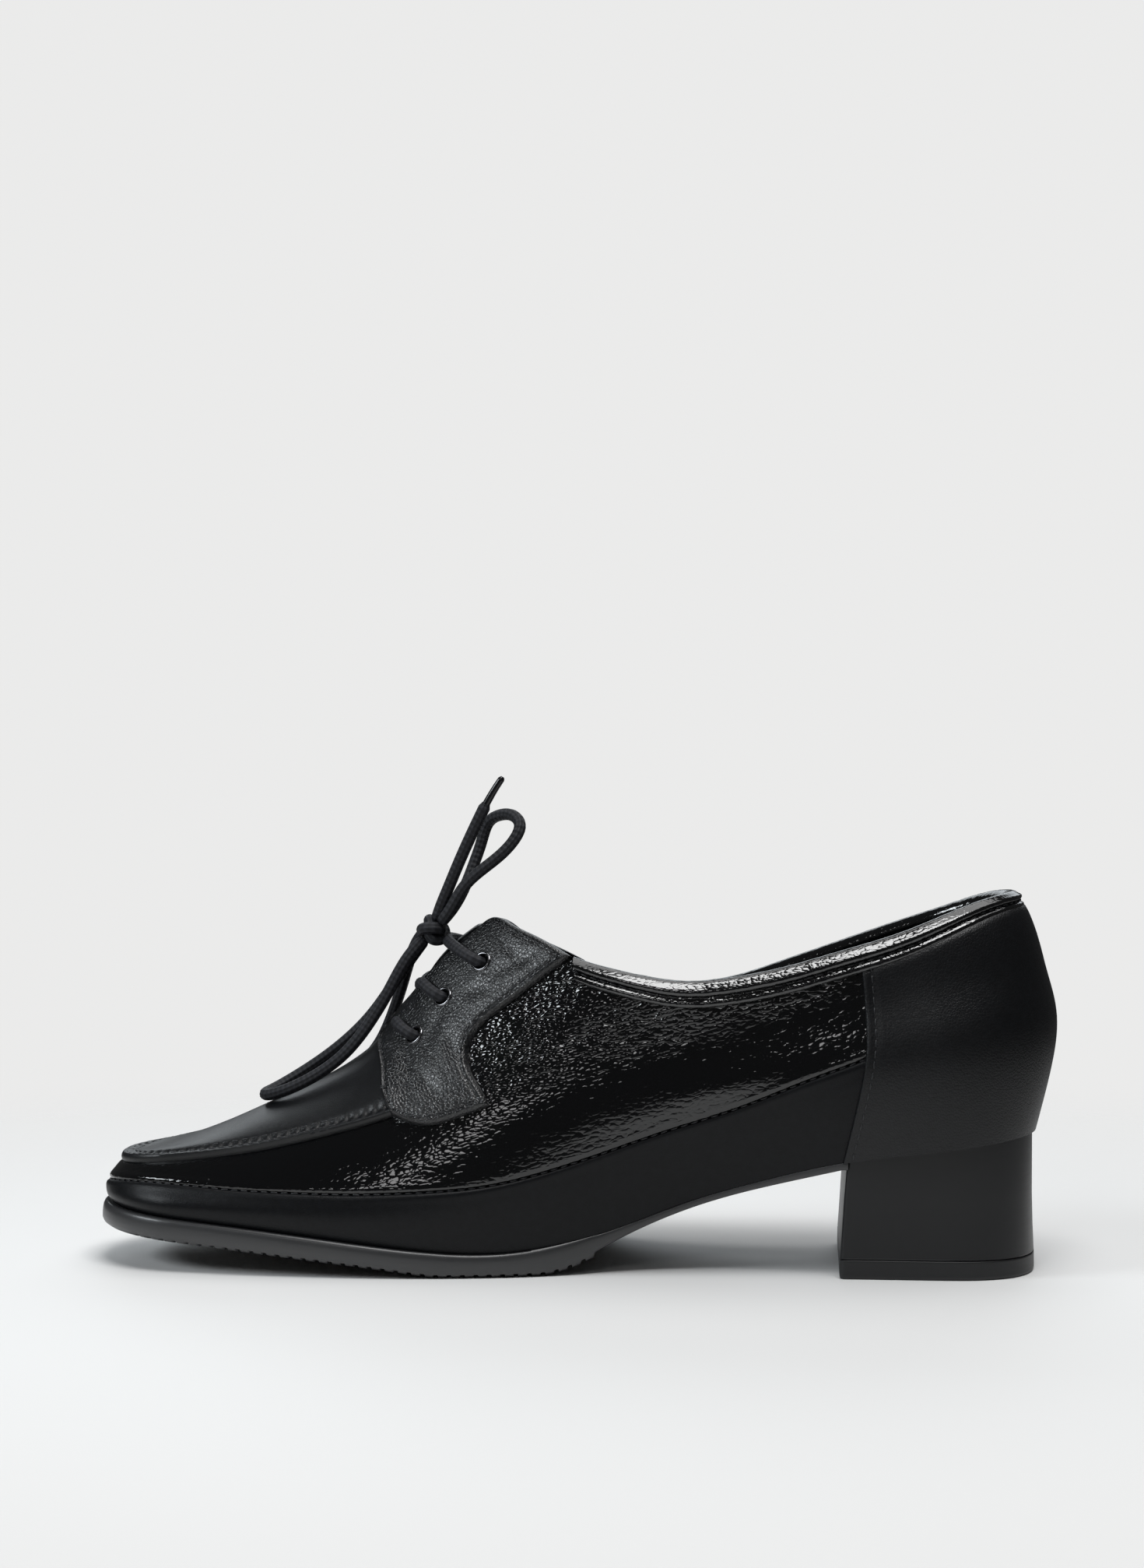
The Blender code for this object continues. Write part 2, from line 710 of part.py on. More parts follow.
def loft(name, rings):
    """A solid through rings of equal length, each ring running down one side and back up the other."""
    count = len(rings[0])
    points = np.concatenate(rings)
    faces = []
    for i in range(len(rings) - 1):
        for j in range(count):
            a = i * count + j
            b = i * count + (j + 1) % count
            faces.append([a, b, b + count, a + count])
    for start, turn in ((0, True), ((len(rings) - 1) * count, False)):
        for j in range(count // 2 - 1):
            a, b = start + j, start + count - 1 - j
            ring = [a, a + 1, b - 1, b]
            faces.append(ring[::-1] if turn else ring)
    return face_outward(add_object(name, points, faces))


def centre_at(station):
    """Sideways place of the shoe's middle."""
    return column(CENTRE, "side", station)


def sole_underside(station, groove):
    """Height of the sole's underside, with the tread's step and the depth of a groove."""
    height = max(float(column(SOLE, "underside", station)), 0.0)
    if station > TREAD_START:
        rise = min(max((TREAD_FLAT - station) / (TREAD_FLAT - TREAD_START), 0), 1)
        height = max(height - TREAD_STEP * rise, 0.0)
    return height + (RIB_DEPTH if groove else 0.0)


def sole_stations():
    """Stations along the sole with a mark for those in a groove between two ribs."""
    places = [(each, False) for each in np.linspace(SOLE_START, TREAD_START, 12)]
    start = TREAD_START + RIB_SLOPE
    while start + RIB_PITCH < TREAD_END:
        groove = start + RIB_LAND
        places += [(start, False), (groove, False), (groove + RIB_SLOPE, True)]
        places += [(start + RIB_PITCH - RIB_SLOPE, True)]
        start += RIB_PITCH
    places += [(start + (SOLE_END - start) * (1 - (1 - share) ** 2), False) for share in TOE_SHARES]
    return places


def sole_ring(station, groove):
    """Section of the sole at a station, from the inner top edge round to the outer top edge."""
    low = sole_underside(station, groove)
    along = (station - SOLE_START) / (SOLE_END - SOLE_START)
    ring = {INNER: [], OUTER: []}
    for row in SOLE_RIM:
        here = station + row.reach * along ** 6
        top = float(column(FEATHER.rows, "height", here)) - FIT_GAP
        base = max(low, sole_underside(station, False) + row.height * (top - low))
        edge = FEATHER._replace(last=SOLE_END + row.reach)
        out = row.rim * float(column(SOLE, "rim", here)) - row.inset
        fade = float(end_round(edge.last - here, edge.toe_round, edge.toe_power))
        for side in (INNER, OUTER):
            wide = float(half_width(edge, here, side)) + out * fade
            ring[side].append([HALF_LENGTH - here, float(centre_at(here)) + side * wide, base])
    return np.array(ring[INNER] + ring[OUTER][::-1])


def build_outsole():
    """Forefoot with a rounded rim and cross ribs, and a thin waist that ends at the heel's breast."""
    return loft("outsole", [sole_ring(station, groove) for station, groove in sole_stations()])


def heel_ring(row):
    """A D-shaped outline of the heel at one height."""
    share = np.linspace(1, 0, HEEL_STEPS + 1)
    station = row.back + (row.breast - row.back) * (1 - np.cos(math.pi / 2 * share))
    fade = end_round(station - row.back, HEEL_ROUND, HEEL_POWER)
    fade = np.maximum(fade, HEEL_BACK_WIDTH)
    seat = column(FEATHER.rows, "height", station) - FIT_GAP
    height = seat if row.seat else np.full_like(station, row.height)
    sides = []
    for side, wide in ((INNER, row.inner), (OUTER, row.outer)):
        across = centre_at(station) + side * wide * fade
        sides.append(np.stack([HALF_LENGTH - station, across, height], -1))
    return np.concatenate([sides[0], sides[1][::-1]])


def build_heel():
    """The heel block and the lift under it."""
    loft("heel_block", [heel_ring(row) for row in HEEL_BLOCK])
    loft("heel_top_lift", [heel_ring(row) for row in TOP_LIFT])


def build_insole():
    """A thin sheet inside the wall, on the sole and the heel seat."""
    rows = [row._replace(inner=row.inner - INSOLE_INSET, outer=row.outer - INSOLE_INSET)
            for row in FEATHER.rows]
    line = FEATHER._replace(first=FEATHER.first + INSOLE_INSET, last=FEATHER.last - INSOLE_INSET, rows=rows)
    rings = []
    for share in np.linspace(INSOLE_TIP, 1 - INSOLE_TIP, INSOLE_STEPS):
        station = line.first + (line.last - line.first) * (1 - math.cos(math.pi * share)) / 2
        low = float(column(FEATHER.rows, "height", station))
        inner = float(centre_at(station) - half_width(line, station, INNER))
        outer = float(centre_at(station) + half_width(line, station, OUTER))
        place_x = HALF_LENGTH - station
        rings.append(np.array([[place_x, inner, low + INSOLE_THICK], [place_x, inner, low],
                               [place_x, outer, low], [place_x, outer, low + INSOLE_THICK]]))
    return loft("insole", rings)


def rise_length(t, rise):
    """Millimetres of skin for one unit of rise."""
    small = 1e-3
    return np.linalg.norm(last_point(t, rise + small) - last_point(t, rise - small), axis=-1) / (2 * small)


def build_counter():
    """A band round the back from the inner front edge to the outer one, below the binding."""
    walk = np.linspace(-1, 1, COUNTER_STEPS)
    share = np.linspace(0, 1, COUNTER_ROWS)
    t = np.zeros((len(walk), len(share)))
    rise = np.zeros_like(t)
    for i, step in enumerate(walk):
        side = OUTER if step > 0 else INNER
        low_t = place_height(COUNTER_FRONT_LOW, COUNTER_LOW_HEIGHT, side)[0]
        high_t = place_height(COUNTER_FRONT_HIGH, COUNTER_HIGH_HEIGHT, side)[0]
        t[i] = abs(step) * (low_t + (high_t - low_t) * share)
        for j, each in enumerate(t[i]):
            edge = edge_at(each, side)
            high = edge + (BINDING_DROP + 2 * FIT_GAP) / float(rise_length(each, side * edge))
            low = 1 - 2 * FIT_GAP / float(rise_length(each, side * 0.99))
            rise[i, j] = side * (low + (high - low) * share[j])
    return patch("heel_counter", t, rise, OVERLAY_GAP, OVERLAY_GAP + OVERLAY_THICK)


def edge_at(t, side):
    """Upper edge's rise, the mean of both sides at the heel's back."""
    if t <= 0:
        return (edge_rise(0.0, INNER) + edge_rise(0.0, OUTER)) / 2
    return edge_rise(t, side)


def build_binding():
    """A rolled strip folded over the collar's edge, from facing to facing round the back."""
    rings = []
    for step in np.linspace(-1, 1, BINDING_STEPS):
        side = OUTER if step > 0 else INNER
        height = float(column(TOPLINE, "inner" if side == INNER else "outer", BINDING_END))
        t = abs(step) * place_height(BINDING_END, height, side)[0]
        edge = edge_at(t, side)
        scale = float(rise_length(t, side * edge))
        rise = np.array([side * (edge - row.climb / scale) for row in BINDING])
        rings.append(skin(np.full(len(BINDING), t), rise, np.array([row.out for row in BINDING])))
    return tube_solid("collar_binding", rings)


def tube_solid(name, rings):
    """A swept solid through closed rings, with flat ends."""
    count = len(rings[0])
    faces = []
    for i in range(len(rings) - 1):
        for j in range(count):
            a = i * count + j
            b = i * count + (j + 1) % count
            faces.append([a, b, b + count, a + count])
    end = (len(rings) - 1) * count
    faces.append(list(range(count))[::-1])
    faces.append([end + j for j in range(count)])
    return face_outward(add_object(name, np.concatenate(rings), faces))


def build_apron():
    """The plug on top of the vamp, zipped to a squared end at the toe."""
    rise = np.linspace(-APRON_RISE, APRON_RISE, APRON_ROWS)
    station = APRON_BACK - APRON_LEAN * np.abs(rise) / APRON_RISE
    share, grid_rise = np.meshgrid(np.linspace(0, 1, APRON_STEPS), rise, indexing="ij")
    back = ridge_t(station)[None]
    grid_t = back + (1 - back) * share
    return patch("apron", grid_t, grid_rise, OVERLAY_GAP, OVERLAY_GAP + OVERLAY_THICK, True)


def build_tongue():
    """A strip under the throat, following the wall's inner face."""
    t = np.linspace(float(ridge_t(TONGUE_HIGH)), float(ridge_t(TONGUE_LOW)), TONGUE_STEPS)
    rise = np.linspace(-TONGUE_RISE, TONGUE_RISE, TONGUE_ROWS)
    grid_t, grid_rise = np.meshgrid(t, rise, indexing="ij")
    top = -WALL_THICK - TONGUE_GAP
    return patch("tongue", grid_t, grid_rise, top - TONGUE_THICK, top)


def resample(places, count):
    """Evenly spaced (t, rise) places along a run of them, by distance over the last."""
    places = np.array(places)
    points = last_point(places[:, 0], places[:, 1])
    run = np.concatenate([[0], np.cumsum(np.linalg.norm(np.diff(points, axis=0), axis=1))])
    at = np.linspace(0, run[-1], count)
    return np.stack([np.interp(at, run, places[:, k]) for k in range(2)], -1)


def build_facing(name, side, top_rows, back_rows):
    """A facing filled in between its front and throat, top, back and bottom edges."""
    front = [place_height(row.station, row.height, side) for row in FACING_FRONT]
    front += [place_gap(row.station, row.half, side) for row in FACING_THROAT]
    top = front[-1:] + [place_height(row.station, row.height, side) for row in top_rows]
    back = [place_height(row.station, row.height, side) for row in back_rows[::-1]] + top[-1:]
    bottom = front[:1] + [place_height(row.station, row.height, side) for row in FACING_BOTTOM[::-1]]
    bottom = resample(bottom + back[:1], FACING_ROWS)
    top = resample(top, FACING_ROWS)
    front = resample(front, FACING_STEPS)
    back = resample(back, FACING_STEPS)
    u = np.linspace(0, 1, FACING_ROWS)[None, :, None]
    v = np.linspace(0, 1, FACING_STEPS)[:, None, None]
    grid = (1 - v) * bottom[None] + v * top[None] + (1 - u) * front[:, None] + u * back[:, None]
    grid -= (1 - u) * (1 - v) * bottom[0] + u * (1 - v) * bottom[-1] + (1 - u) * v * top[0] + u * v * top[-1]
    return patch(name, grid[..., 0], grid[..., 1], OVERLAY_GAP, OVERLAY_GAP + FACING_THICK)


def build_eyelet(name, row, side):
    """A thin ring on the facing."""
    t, rise = place_height(row.station, row.height, side)
    normal = last_normal(t, rise)
    along = np.cross(normal, [0.0, 1.0, 0.0])
    along /= np.linalg.norm(along)
    across = np.cross(normal, along)
    low = skin(t, rise, EYELET_STAND)
    rings = []
    for turn in np.linspace(0, 2 * math.pi, EYELET_SIDES, endpoint=False):
        out = along * math.cos(turn) + across * math.sin(turn)
        rings.append(np.array([low + out * EYELET_INNER, low + out * EYELET_OUTER,
                               low + out * (EYELET_OUTER - EYELET_SOFT) + normal * EYELET_TALL,
                               low + out * EYELET_INNER + normal * EYELET_TALL]))
    count = len(rings[0])
    faces = []
    for i in range(EYELET_SIDES):
        for j in range(count):
            a = i * count
            b = (i + 1) % EYELET_SIDES * count
            k = (j + 1) % count
            faces.append([a + j, a + k, b + k, b + j])
    return face_outward(add_object(name, np.concatenate(rings), faces))


def cord(name, points, thick):
    """A round cord along a smooth run of points, as one spline with filled ends."""
    points = np.asarray(points, float)
    run = np.concatenate([[0], np.cumsum(np.linalg.norm(np.diff(points, axis=0), axis=1))])
    at = np.linspace(0, run[-1], max(4, int(run[-1] / CORD_STEP) + 2))
    smooth = np.stack([spline(run, points[:, k], at) for k in range(3)], -1) * MM
    curve = bpy.data.curves.new(name, "CURVE")
    curve.dimensions = "3D"
    curve.bevel_depth = thick / 2 * MM
    curve.bevel_resolution = 2
    curve.use_fill_caps = True
    line = curve.splines.new("POLY")
    line.points.add(len(smooth) - 1)
    for point, place_at in zip(line.points, smooth):
        point.co = (*place_at, 1)
    thing = bpy.data.objects.new(name, curve)
    bpy.context.collection.objects.link(thing)
    return thing


def route(rows):
    """Route rows as points."""
    return [(HALF_LENGTH - row.station, row.side, row.height) for row in rows]


def build_lace():
    """Three bars over the throat, the knot and the bow."""
    for number, (row, hole) in enumerate(zip(LACE_BARS, EYELETS), 1):
        middle = float(ridge_t(row.station))
        points = []
        for side in (INNER, OUTER):
            t, rise = place_height(hole.station, hole.height, side)
            half = [skin(t, rise, LACE_STAND), skin((t + middle) / 2, rise / 2, LACE_EDGE_STAND)]
            points.append(half)
        points = points[0] + [skin(middle, 0.0, row.lift)] + points[1][::-1]
        cord(f"lace_bar_{number}", points, LACE_THICK)
    build_knot()
    cord("lace_loop_up", route(LOOP_UP), LACE_THICK)
    cord("lace_loop_front", route(LOOP_FRONT), LACE_THICK)
    cord("lace_end_up", route(END_UP), LACE_THICK)
    cord("lace_end_far", route(END_FAR), LACE_THICK)
    cord("aglet_up", route(AGLET_UP), AGLET_THICK)
    cord("aglet_far", route(AGLET_FAR), AGLET_THICK)


def build_knot():
    """The bow's knot as one rounded lump."""
    rings = []
    for lift in np.linspace(-KNOT_TIP, KNOT_TIP, KNOT_RINGS):
        turn = np.linspace(0, 2 * math.pi, KNOT_SIDES, endpoint=False)
        wide = math.sqrt(1 - lift ** 2)
        rings.append(np.stack([HALF_LENGTH - KNOT_PLACE.station + KNOT_RADII.station * wide * np.cos(turn),
                               KNOT_PLACE.side + KNOT_RADII.side * wide * np.sin(turn),
                               np.full(KNOT_SIDES, KNOT_PLACE.height + KNOT_RADII.height * lift)], -1))
    return tube_solid("lace_knot", rings)


def paint(thing):
    """Gives a piece its own material."""
    finish = next(row for start, row in PIECE_FINISHES.items() if thing.name.startswith(start))
    material = bpy.data.materials.new(thing.name)
    material.use_nodes = True
    shader = material.node_tree.nodes["Principled BSDF"]
    shader.inputs["Base Color"].default_value = (finish.red, finish.green, finish.blue, 1.0)
    shader.inputs["Roughness"].default_value = finish.roughness
    shader.inputs["Metallic"].default_value = finish.metallic
    thing.data.materials.append(material)


def main():
    """Builds every piece of the shoe and paints it."""
    clear_scene()
    build_outsole()
    build_heel()
    build_insole()
    build_upper()
    build_apron()
    build_counter()
    build_binding()
    build_tongue()
    build_facing("facing_inner", INNER, FACING_TOP_INNER, FACING_BACK_INNER)
    build_facing("facing_outer", OUTER, FACING_TOP_OUTER, FACING_BACK_OUTER)
    for side, word in ((INNER, "inner"), (OUTER, "outer")):
        for number, row in enumerate(EYELETS, 1):
            build_eyelet(f"eyelet_{word}_{number}", row, side)
    build_lace()
    for thing in bpy.data.objects:
        paint(thing)
        if thing.type == "MESH":
            thing.data.shade_smooth()
            thing.data.set_sharp_from_angle(angle=SHARP_EDGE)


main()
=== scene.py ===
"""Dresses the heeled derby shoe: leather panels, stitches, sole, heel, lace and studio.

Sizes are in millimetres and become metres where a mesh is made. A station is the distance
forward from the back of the heel. The toe points along -X, the inner side of the foot is
at -Y, and the floor is z = 0.
"""
from __future__ import annotations

import logging
import math
from dataclasses import dataclass, field
from enum import Enum
from functools import lru_cache
from typing import Callable, NamedTuple, Optional, Sequence, TypeVar, Union

import bmesh
import bpy
import numpy as np
from mathutils import Matrix, Vector

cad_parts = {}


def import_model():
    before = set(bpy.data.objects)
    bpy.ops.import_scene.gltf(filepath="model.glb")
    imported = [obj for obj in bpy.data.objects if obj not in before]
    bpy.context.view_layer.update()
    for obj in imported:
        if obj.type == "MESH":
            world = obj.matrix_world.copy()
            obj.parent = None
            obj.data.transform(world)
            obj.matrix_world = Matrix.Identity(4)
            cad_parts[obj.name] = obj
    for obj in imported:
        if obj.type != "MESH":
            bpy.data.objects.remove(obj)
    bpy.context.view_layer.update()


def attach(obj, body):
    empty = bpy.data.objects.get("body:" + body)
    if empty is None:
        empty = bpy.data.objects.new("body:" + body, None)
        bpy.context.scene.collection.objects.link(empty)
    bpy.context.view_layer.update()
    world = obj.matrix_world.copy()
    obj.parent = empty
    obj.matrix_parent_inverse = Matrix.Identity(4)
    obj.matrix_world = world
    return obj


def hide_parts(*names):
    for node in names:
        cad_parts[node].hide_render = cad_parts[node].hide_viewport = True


LOG = logging.getLogger("derby")
Row = TypeVar("Row")
Array = np.ndarray
Span = tuple[float, float]
Triple = tuple[float, float, float]
Colour = Triple
Places = tuple[Array, Array]
Coords = Callable[[Array, Array], Places]
Relief = Callable[["Grid"], Array]
Thing = bpy.types.Object
Socket = bpy.types.NodeSocket
Node = bpy.types.Node
Tree = bpy.types.GeometryNodeTree
MM = 0.001
COOL: Colour = (0.9, 0.96, 1.0)
WHITE = (1.0, 1.0, 1.0, 1.0)
WARM_WHITE = (1.0, 1.0, 0.995, 1.0)
SHARP_EDGE = math.radians(50)
FINE_STEPS = 8
TUBE_START = (0.3, 0.9, 0.1)
CREASE_END = 0.06
CREASE_RIDGE = 0.9
WELD = 2e-6
NORMAL = "leather_normal"
BRAID = "braid"
PATENT_BLACK: Colour = (0.002, 0.0022, 0.0026)
LEATHER_BLACK: Colour = (0.0028, 0.0032, 0.004)


class Side(Enum):
    """The two sides of the foot, by the sign of their Y."""

    INNER = -1
    OUTER = 1


class LineRow(NamedTuple):
    """One station of a line of the last."""

    station: float
    height: float
    inner: float = 0.0
    outer: float = 0.0


class Line(NamedTuple):
    """A line of the last, with how round and how square its two ends are."""

    first: float
    last: float
    heel_round: float
    heel_power: float
    toe_round: float
    toe_power: float
    rows: tuple[LineRow, ...]

    def station(self, t: Array) -> Array:
        """Stations at shares from heel to toe, closer together towards both ends."""
        return self.first + (self.last - self.first) * (1 - np.cos(math.pi * t)) / 2


class Place(NamedTuple):
    """A place in side view."""

    station: float
    height: float


class Gap(NamedTuple):
    """A place in top view, by its distance from the shoe's middle."""

    station: float
    half: float


class Top(NamedTuple):
    """Height of the collar's edge on both sides at a station."""

    station: float
    inner: float
    outer: float


class Route(NamedTuple):
    """A point of a cord."""

    station: float
    side: float
    height: float


def table(kind: type[Row], *rows: tuple) -> tuple[Row, ...]:
    """The rows of a table, each made from its values."""
    return tuple(kind(*row) for row in rows)


FEATHER = Line(6.0, 249.6, 30.0, 2.5, 24.0, 2.3, table(
    LineRow, (6, 36.9, 25.0, 25.5), (30, 33.6, 26.5, 27.0), (54, 30.2, 25.5, 27.0),
    (75, 24.8, 22.0, 27.0), (95, 18.6, 21.0, 28.0), (115, 11.2, 25.0, 32.0), (135, 6.6, 31.5, 37.0),
    (155, 6.0, 36.0, 39.0), (175, 8.0, 37.5, 38.0), (200, 11.0, 35.5, 34.5), (225, 13.4, 30.0, 28.5),
    (249.6, 15.4, 23.0, 21.5),
))
WALL = Line(0.9, 251.4, 34.0, 2.3, 25.0, 2.3, table(
    LineRow, (0.9, 59.0, 27.5, 28.0), (30, 56.0, 29.5, 30.0), (60, 50.0, 29.5, 31.5),
    (95, 40.0, 29.0, 33.0), (125, 29.0, 33.0, 38.0), (150, 20.5, 38.5, 41.5), (175, 17.5, 40.0, 40.5),
    (200, 17.5, 37.5, 36.5), (225, 18.0, 32.0, 30.5), (251.4, 18.6, 24.5, 23.0),
))
SHOULDER = Line(3.6, 247.4, 32.0, 2.2, 16.0, 2.6, table(
    LineRow, (3.6, 79.0, 24.0, 24.5), (30, 76.0, 25.0, 25.5), (60, 69.0, 27.0, 28.0),
    (95, 60.0, 28.5, 30.5), (125, 57.0, 30.0, 32.5), (150, 49.0, 31.0, 32.5), (173, 40.0, 30.0, 30.5),
    (190, 35.0, 28.5, 28.0), (207, 31.0, 26.0, 25.0), (223, 28.5, 22.5, 21.0), (247.4, 25.8, 14.5, 13.0),
))
CROWN = Line(14.0, 241.4, 28.0, 2.0, 12.0, 2.2, table(
    LineRow, (14.0, 102.0, 17.5, 17.5), (30, 100.0, 18.5, 18.5), (60, 98.0, 21.0, 21.0),
    (95, 90.0, 24.5, 25.0), (125, 84.0, 22.0, 22.5), (140, 80.0, 18.5, 18.5), (150, 74.5, 17.0, 17.0),
    (160, 66.0, 16.5, 16.5), (173, 53.0, 16.5, 16.5), (190, 43.2, 15.5, 15.5), (207, 36.9, 14.0, 13.5),
    (223, 31.4, 12.0, 11.5), (241.4, 26.7, 8.0, 7.5),
))
RIDGE = Line(34.0, 234.0, 20.0, 2.0, 10.0, 2.0, table(
    LineRow, (34, 118.0), (60, 120.0), (95, 119.0), (125, 110.0), (140, 98.5), (150, 90.6), (157, 85.4),
    (163, 79.5), (168, 72.0), (173, 63.5), (178, 56.6), (184, 51.4), (190, 47.6), (200, 42.6),
    (210, 38.0), (220, 33.6), (234, 28.4),
))
# How far the middle of the shoe lies to the side.
CENTRE = table(
    Gap, (0, -5.0), (60, -5.0), (100, -4.0), (150, -1.0), (175, -1.0), (200, -2.5), (225, -5.0),
    (252, -7.5),
)
TOPLINE = table(
    Top, (5, 97.8, 97.8), (14, 96.9, 96.7), (25, 93.7, 92.9), (40, 87.8, 87.5), (56, 82.9, 81.7),
    (72, 78.4, 75.8), (84, 76.1, 71.8), (96, 75.1, 70.0), (112, 77.6, 72.0), (126, 81.4, 75.9),
    (135, 85.4, 80.6), (142, 88.0, 84.5), (148, 89.3, 88.0), (156, 90.5, 90.5),
)
SLOT = table(
    Gap, (140, 7.5), (152, 7.5), (165, 6.0), (171, 3.6), (174, 0.0),
)


def spline_bends(knots: Array, values: Array) -> Array:
    """Second slopes of the natural cubic spline through the values at the knots."""
    widths = np.diff(knots)
    system = np.eye(len(knots))
    right = np.zeros_like(values)
    for i in range(1, len(knots) - 1):
        system[i, i - 1:i + 2] = widths[i - 1], 2 * (widths[i - 1] + widths[i]), widths[i]
        right[i] = 6 * ((values[i + 1] - values[i]) / widths[i]
                        - (values[i] - values[i - 1]) / widths[i - 1])
    return np.linalg.solve(system, right)


def read_spline(knots: Array, values: Array, bends: Array, at: Array) -> Array:
    """Reads a spline, held at its end values outside.

    Args:
        knots: Where the values stand, in rising order.
        values: One number for each knot.
        bends: The spline's second slope at each knot.
        at: Where to read it.

    Returns:
        The spline's values.
    """
    at = np.clip(np.asarray(at, float), knots[0], knots[-1])
    k = np.clip(np.searchsorted(knots, at) - 1, 0, len(knots) - 2)
    wide = (knots[1:] - knots[:-1])[k]
    low = (knots[k + 1] - at) / wide
    high = 1 - low
    bend = (low ** 3 - low) * bends[k] + (high ** 3 - high) * bends[k + 1]
    return low * values[k] + high * values[k + 1] + bend * wide ** 2 / 6


def spline(knots: Sequence[float], values: Sequence[float], at: Array) -> Array:
    """Natural cubic spline through the values at the knots, read at the places given."""
    knots = np.asarray(knots, float)
    values = np.asarray(values, float)
    return read_spline(knots, values, spline_bends(knots, values), at)


@lru_cache(maxsize=None)
def table_spline(rows: tuple, name: str) -> tuple[Array, Array, Array]:
    """Knots, values and bends of a named column of a table."""
    knots = np.array([row[0] for row in rows], float)
    values = np.array([getattr(row, name) for row in rows], float)
    return knots, values, spline_bends(knots, values)


def column(rows: tuple, name: str, at: Array) -> Array:
    """A named column of a table, read smoothly at the stations given."""
    return read_spline(*table_spline(rows, name), at)


def smooth_step(value: Array, low: float, high: float) -> Array:
    """Grows softly from 0 at low to 1 at high."""
    share = np.clip((np.asarray(value, float) - low) / (high - low), 0, 1)
    return share * share * (3 - 2 * share)


def end_round(inside: Array, reach: float, power: float) -> Array:
    """Grows from 0 at a line's end to 1 at its reach, as a squared-off round."""
    left = 1 - np.clip(inside / reach, 0, 1)
    return (1 - left ** power) ** (1 / power)


def run_length(points: Array) -> Array:
    """Distance along a run of points, from 0 at the first one."""
    return np.concatenate([[0], np.cumsum(np.linalg.norm(np.diff(points, axis=0), axis=-1))])


def curve(run: Array, rows: Array, at: Array) -> Array:
    """Rows read as a smooth curve at distances along their run."""
    return np.stack([spline(run, values, at) for values in rows.T], -1)


def straight(run: Array, rows: Array, at: Array) -> Array:
    """Rows read in straight steps at distances along their run."""
    return np.stack([np.interp(at, run, values) for values in rows.T], -1)


def smooth_run(points: Sequence[Sequence[float]], count: int) -> Array:
    """Evenly spaced points of a smooth curve through the points given."""
    points = np.asarray(points, float)
    run = run_length(points)
    at = np.linspace(0, run[-1], max(count, FINE_STEPS * len(points)))
    fine = run_length(curve(run, points, at))
    return curve(run, points, np.interp(np.linspace(0, fine[-1], count), fine, at))


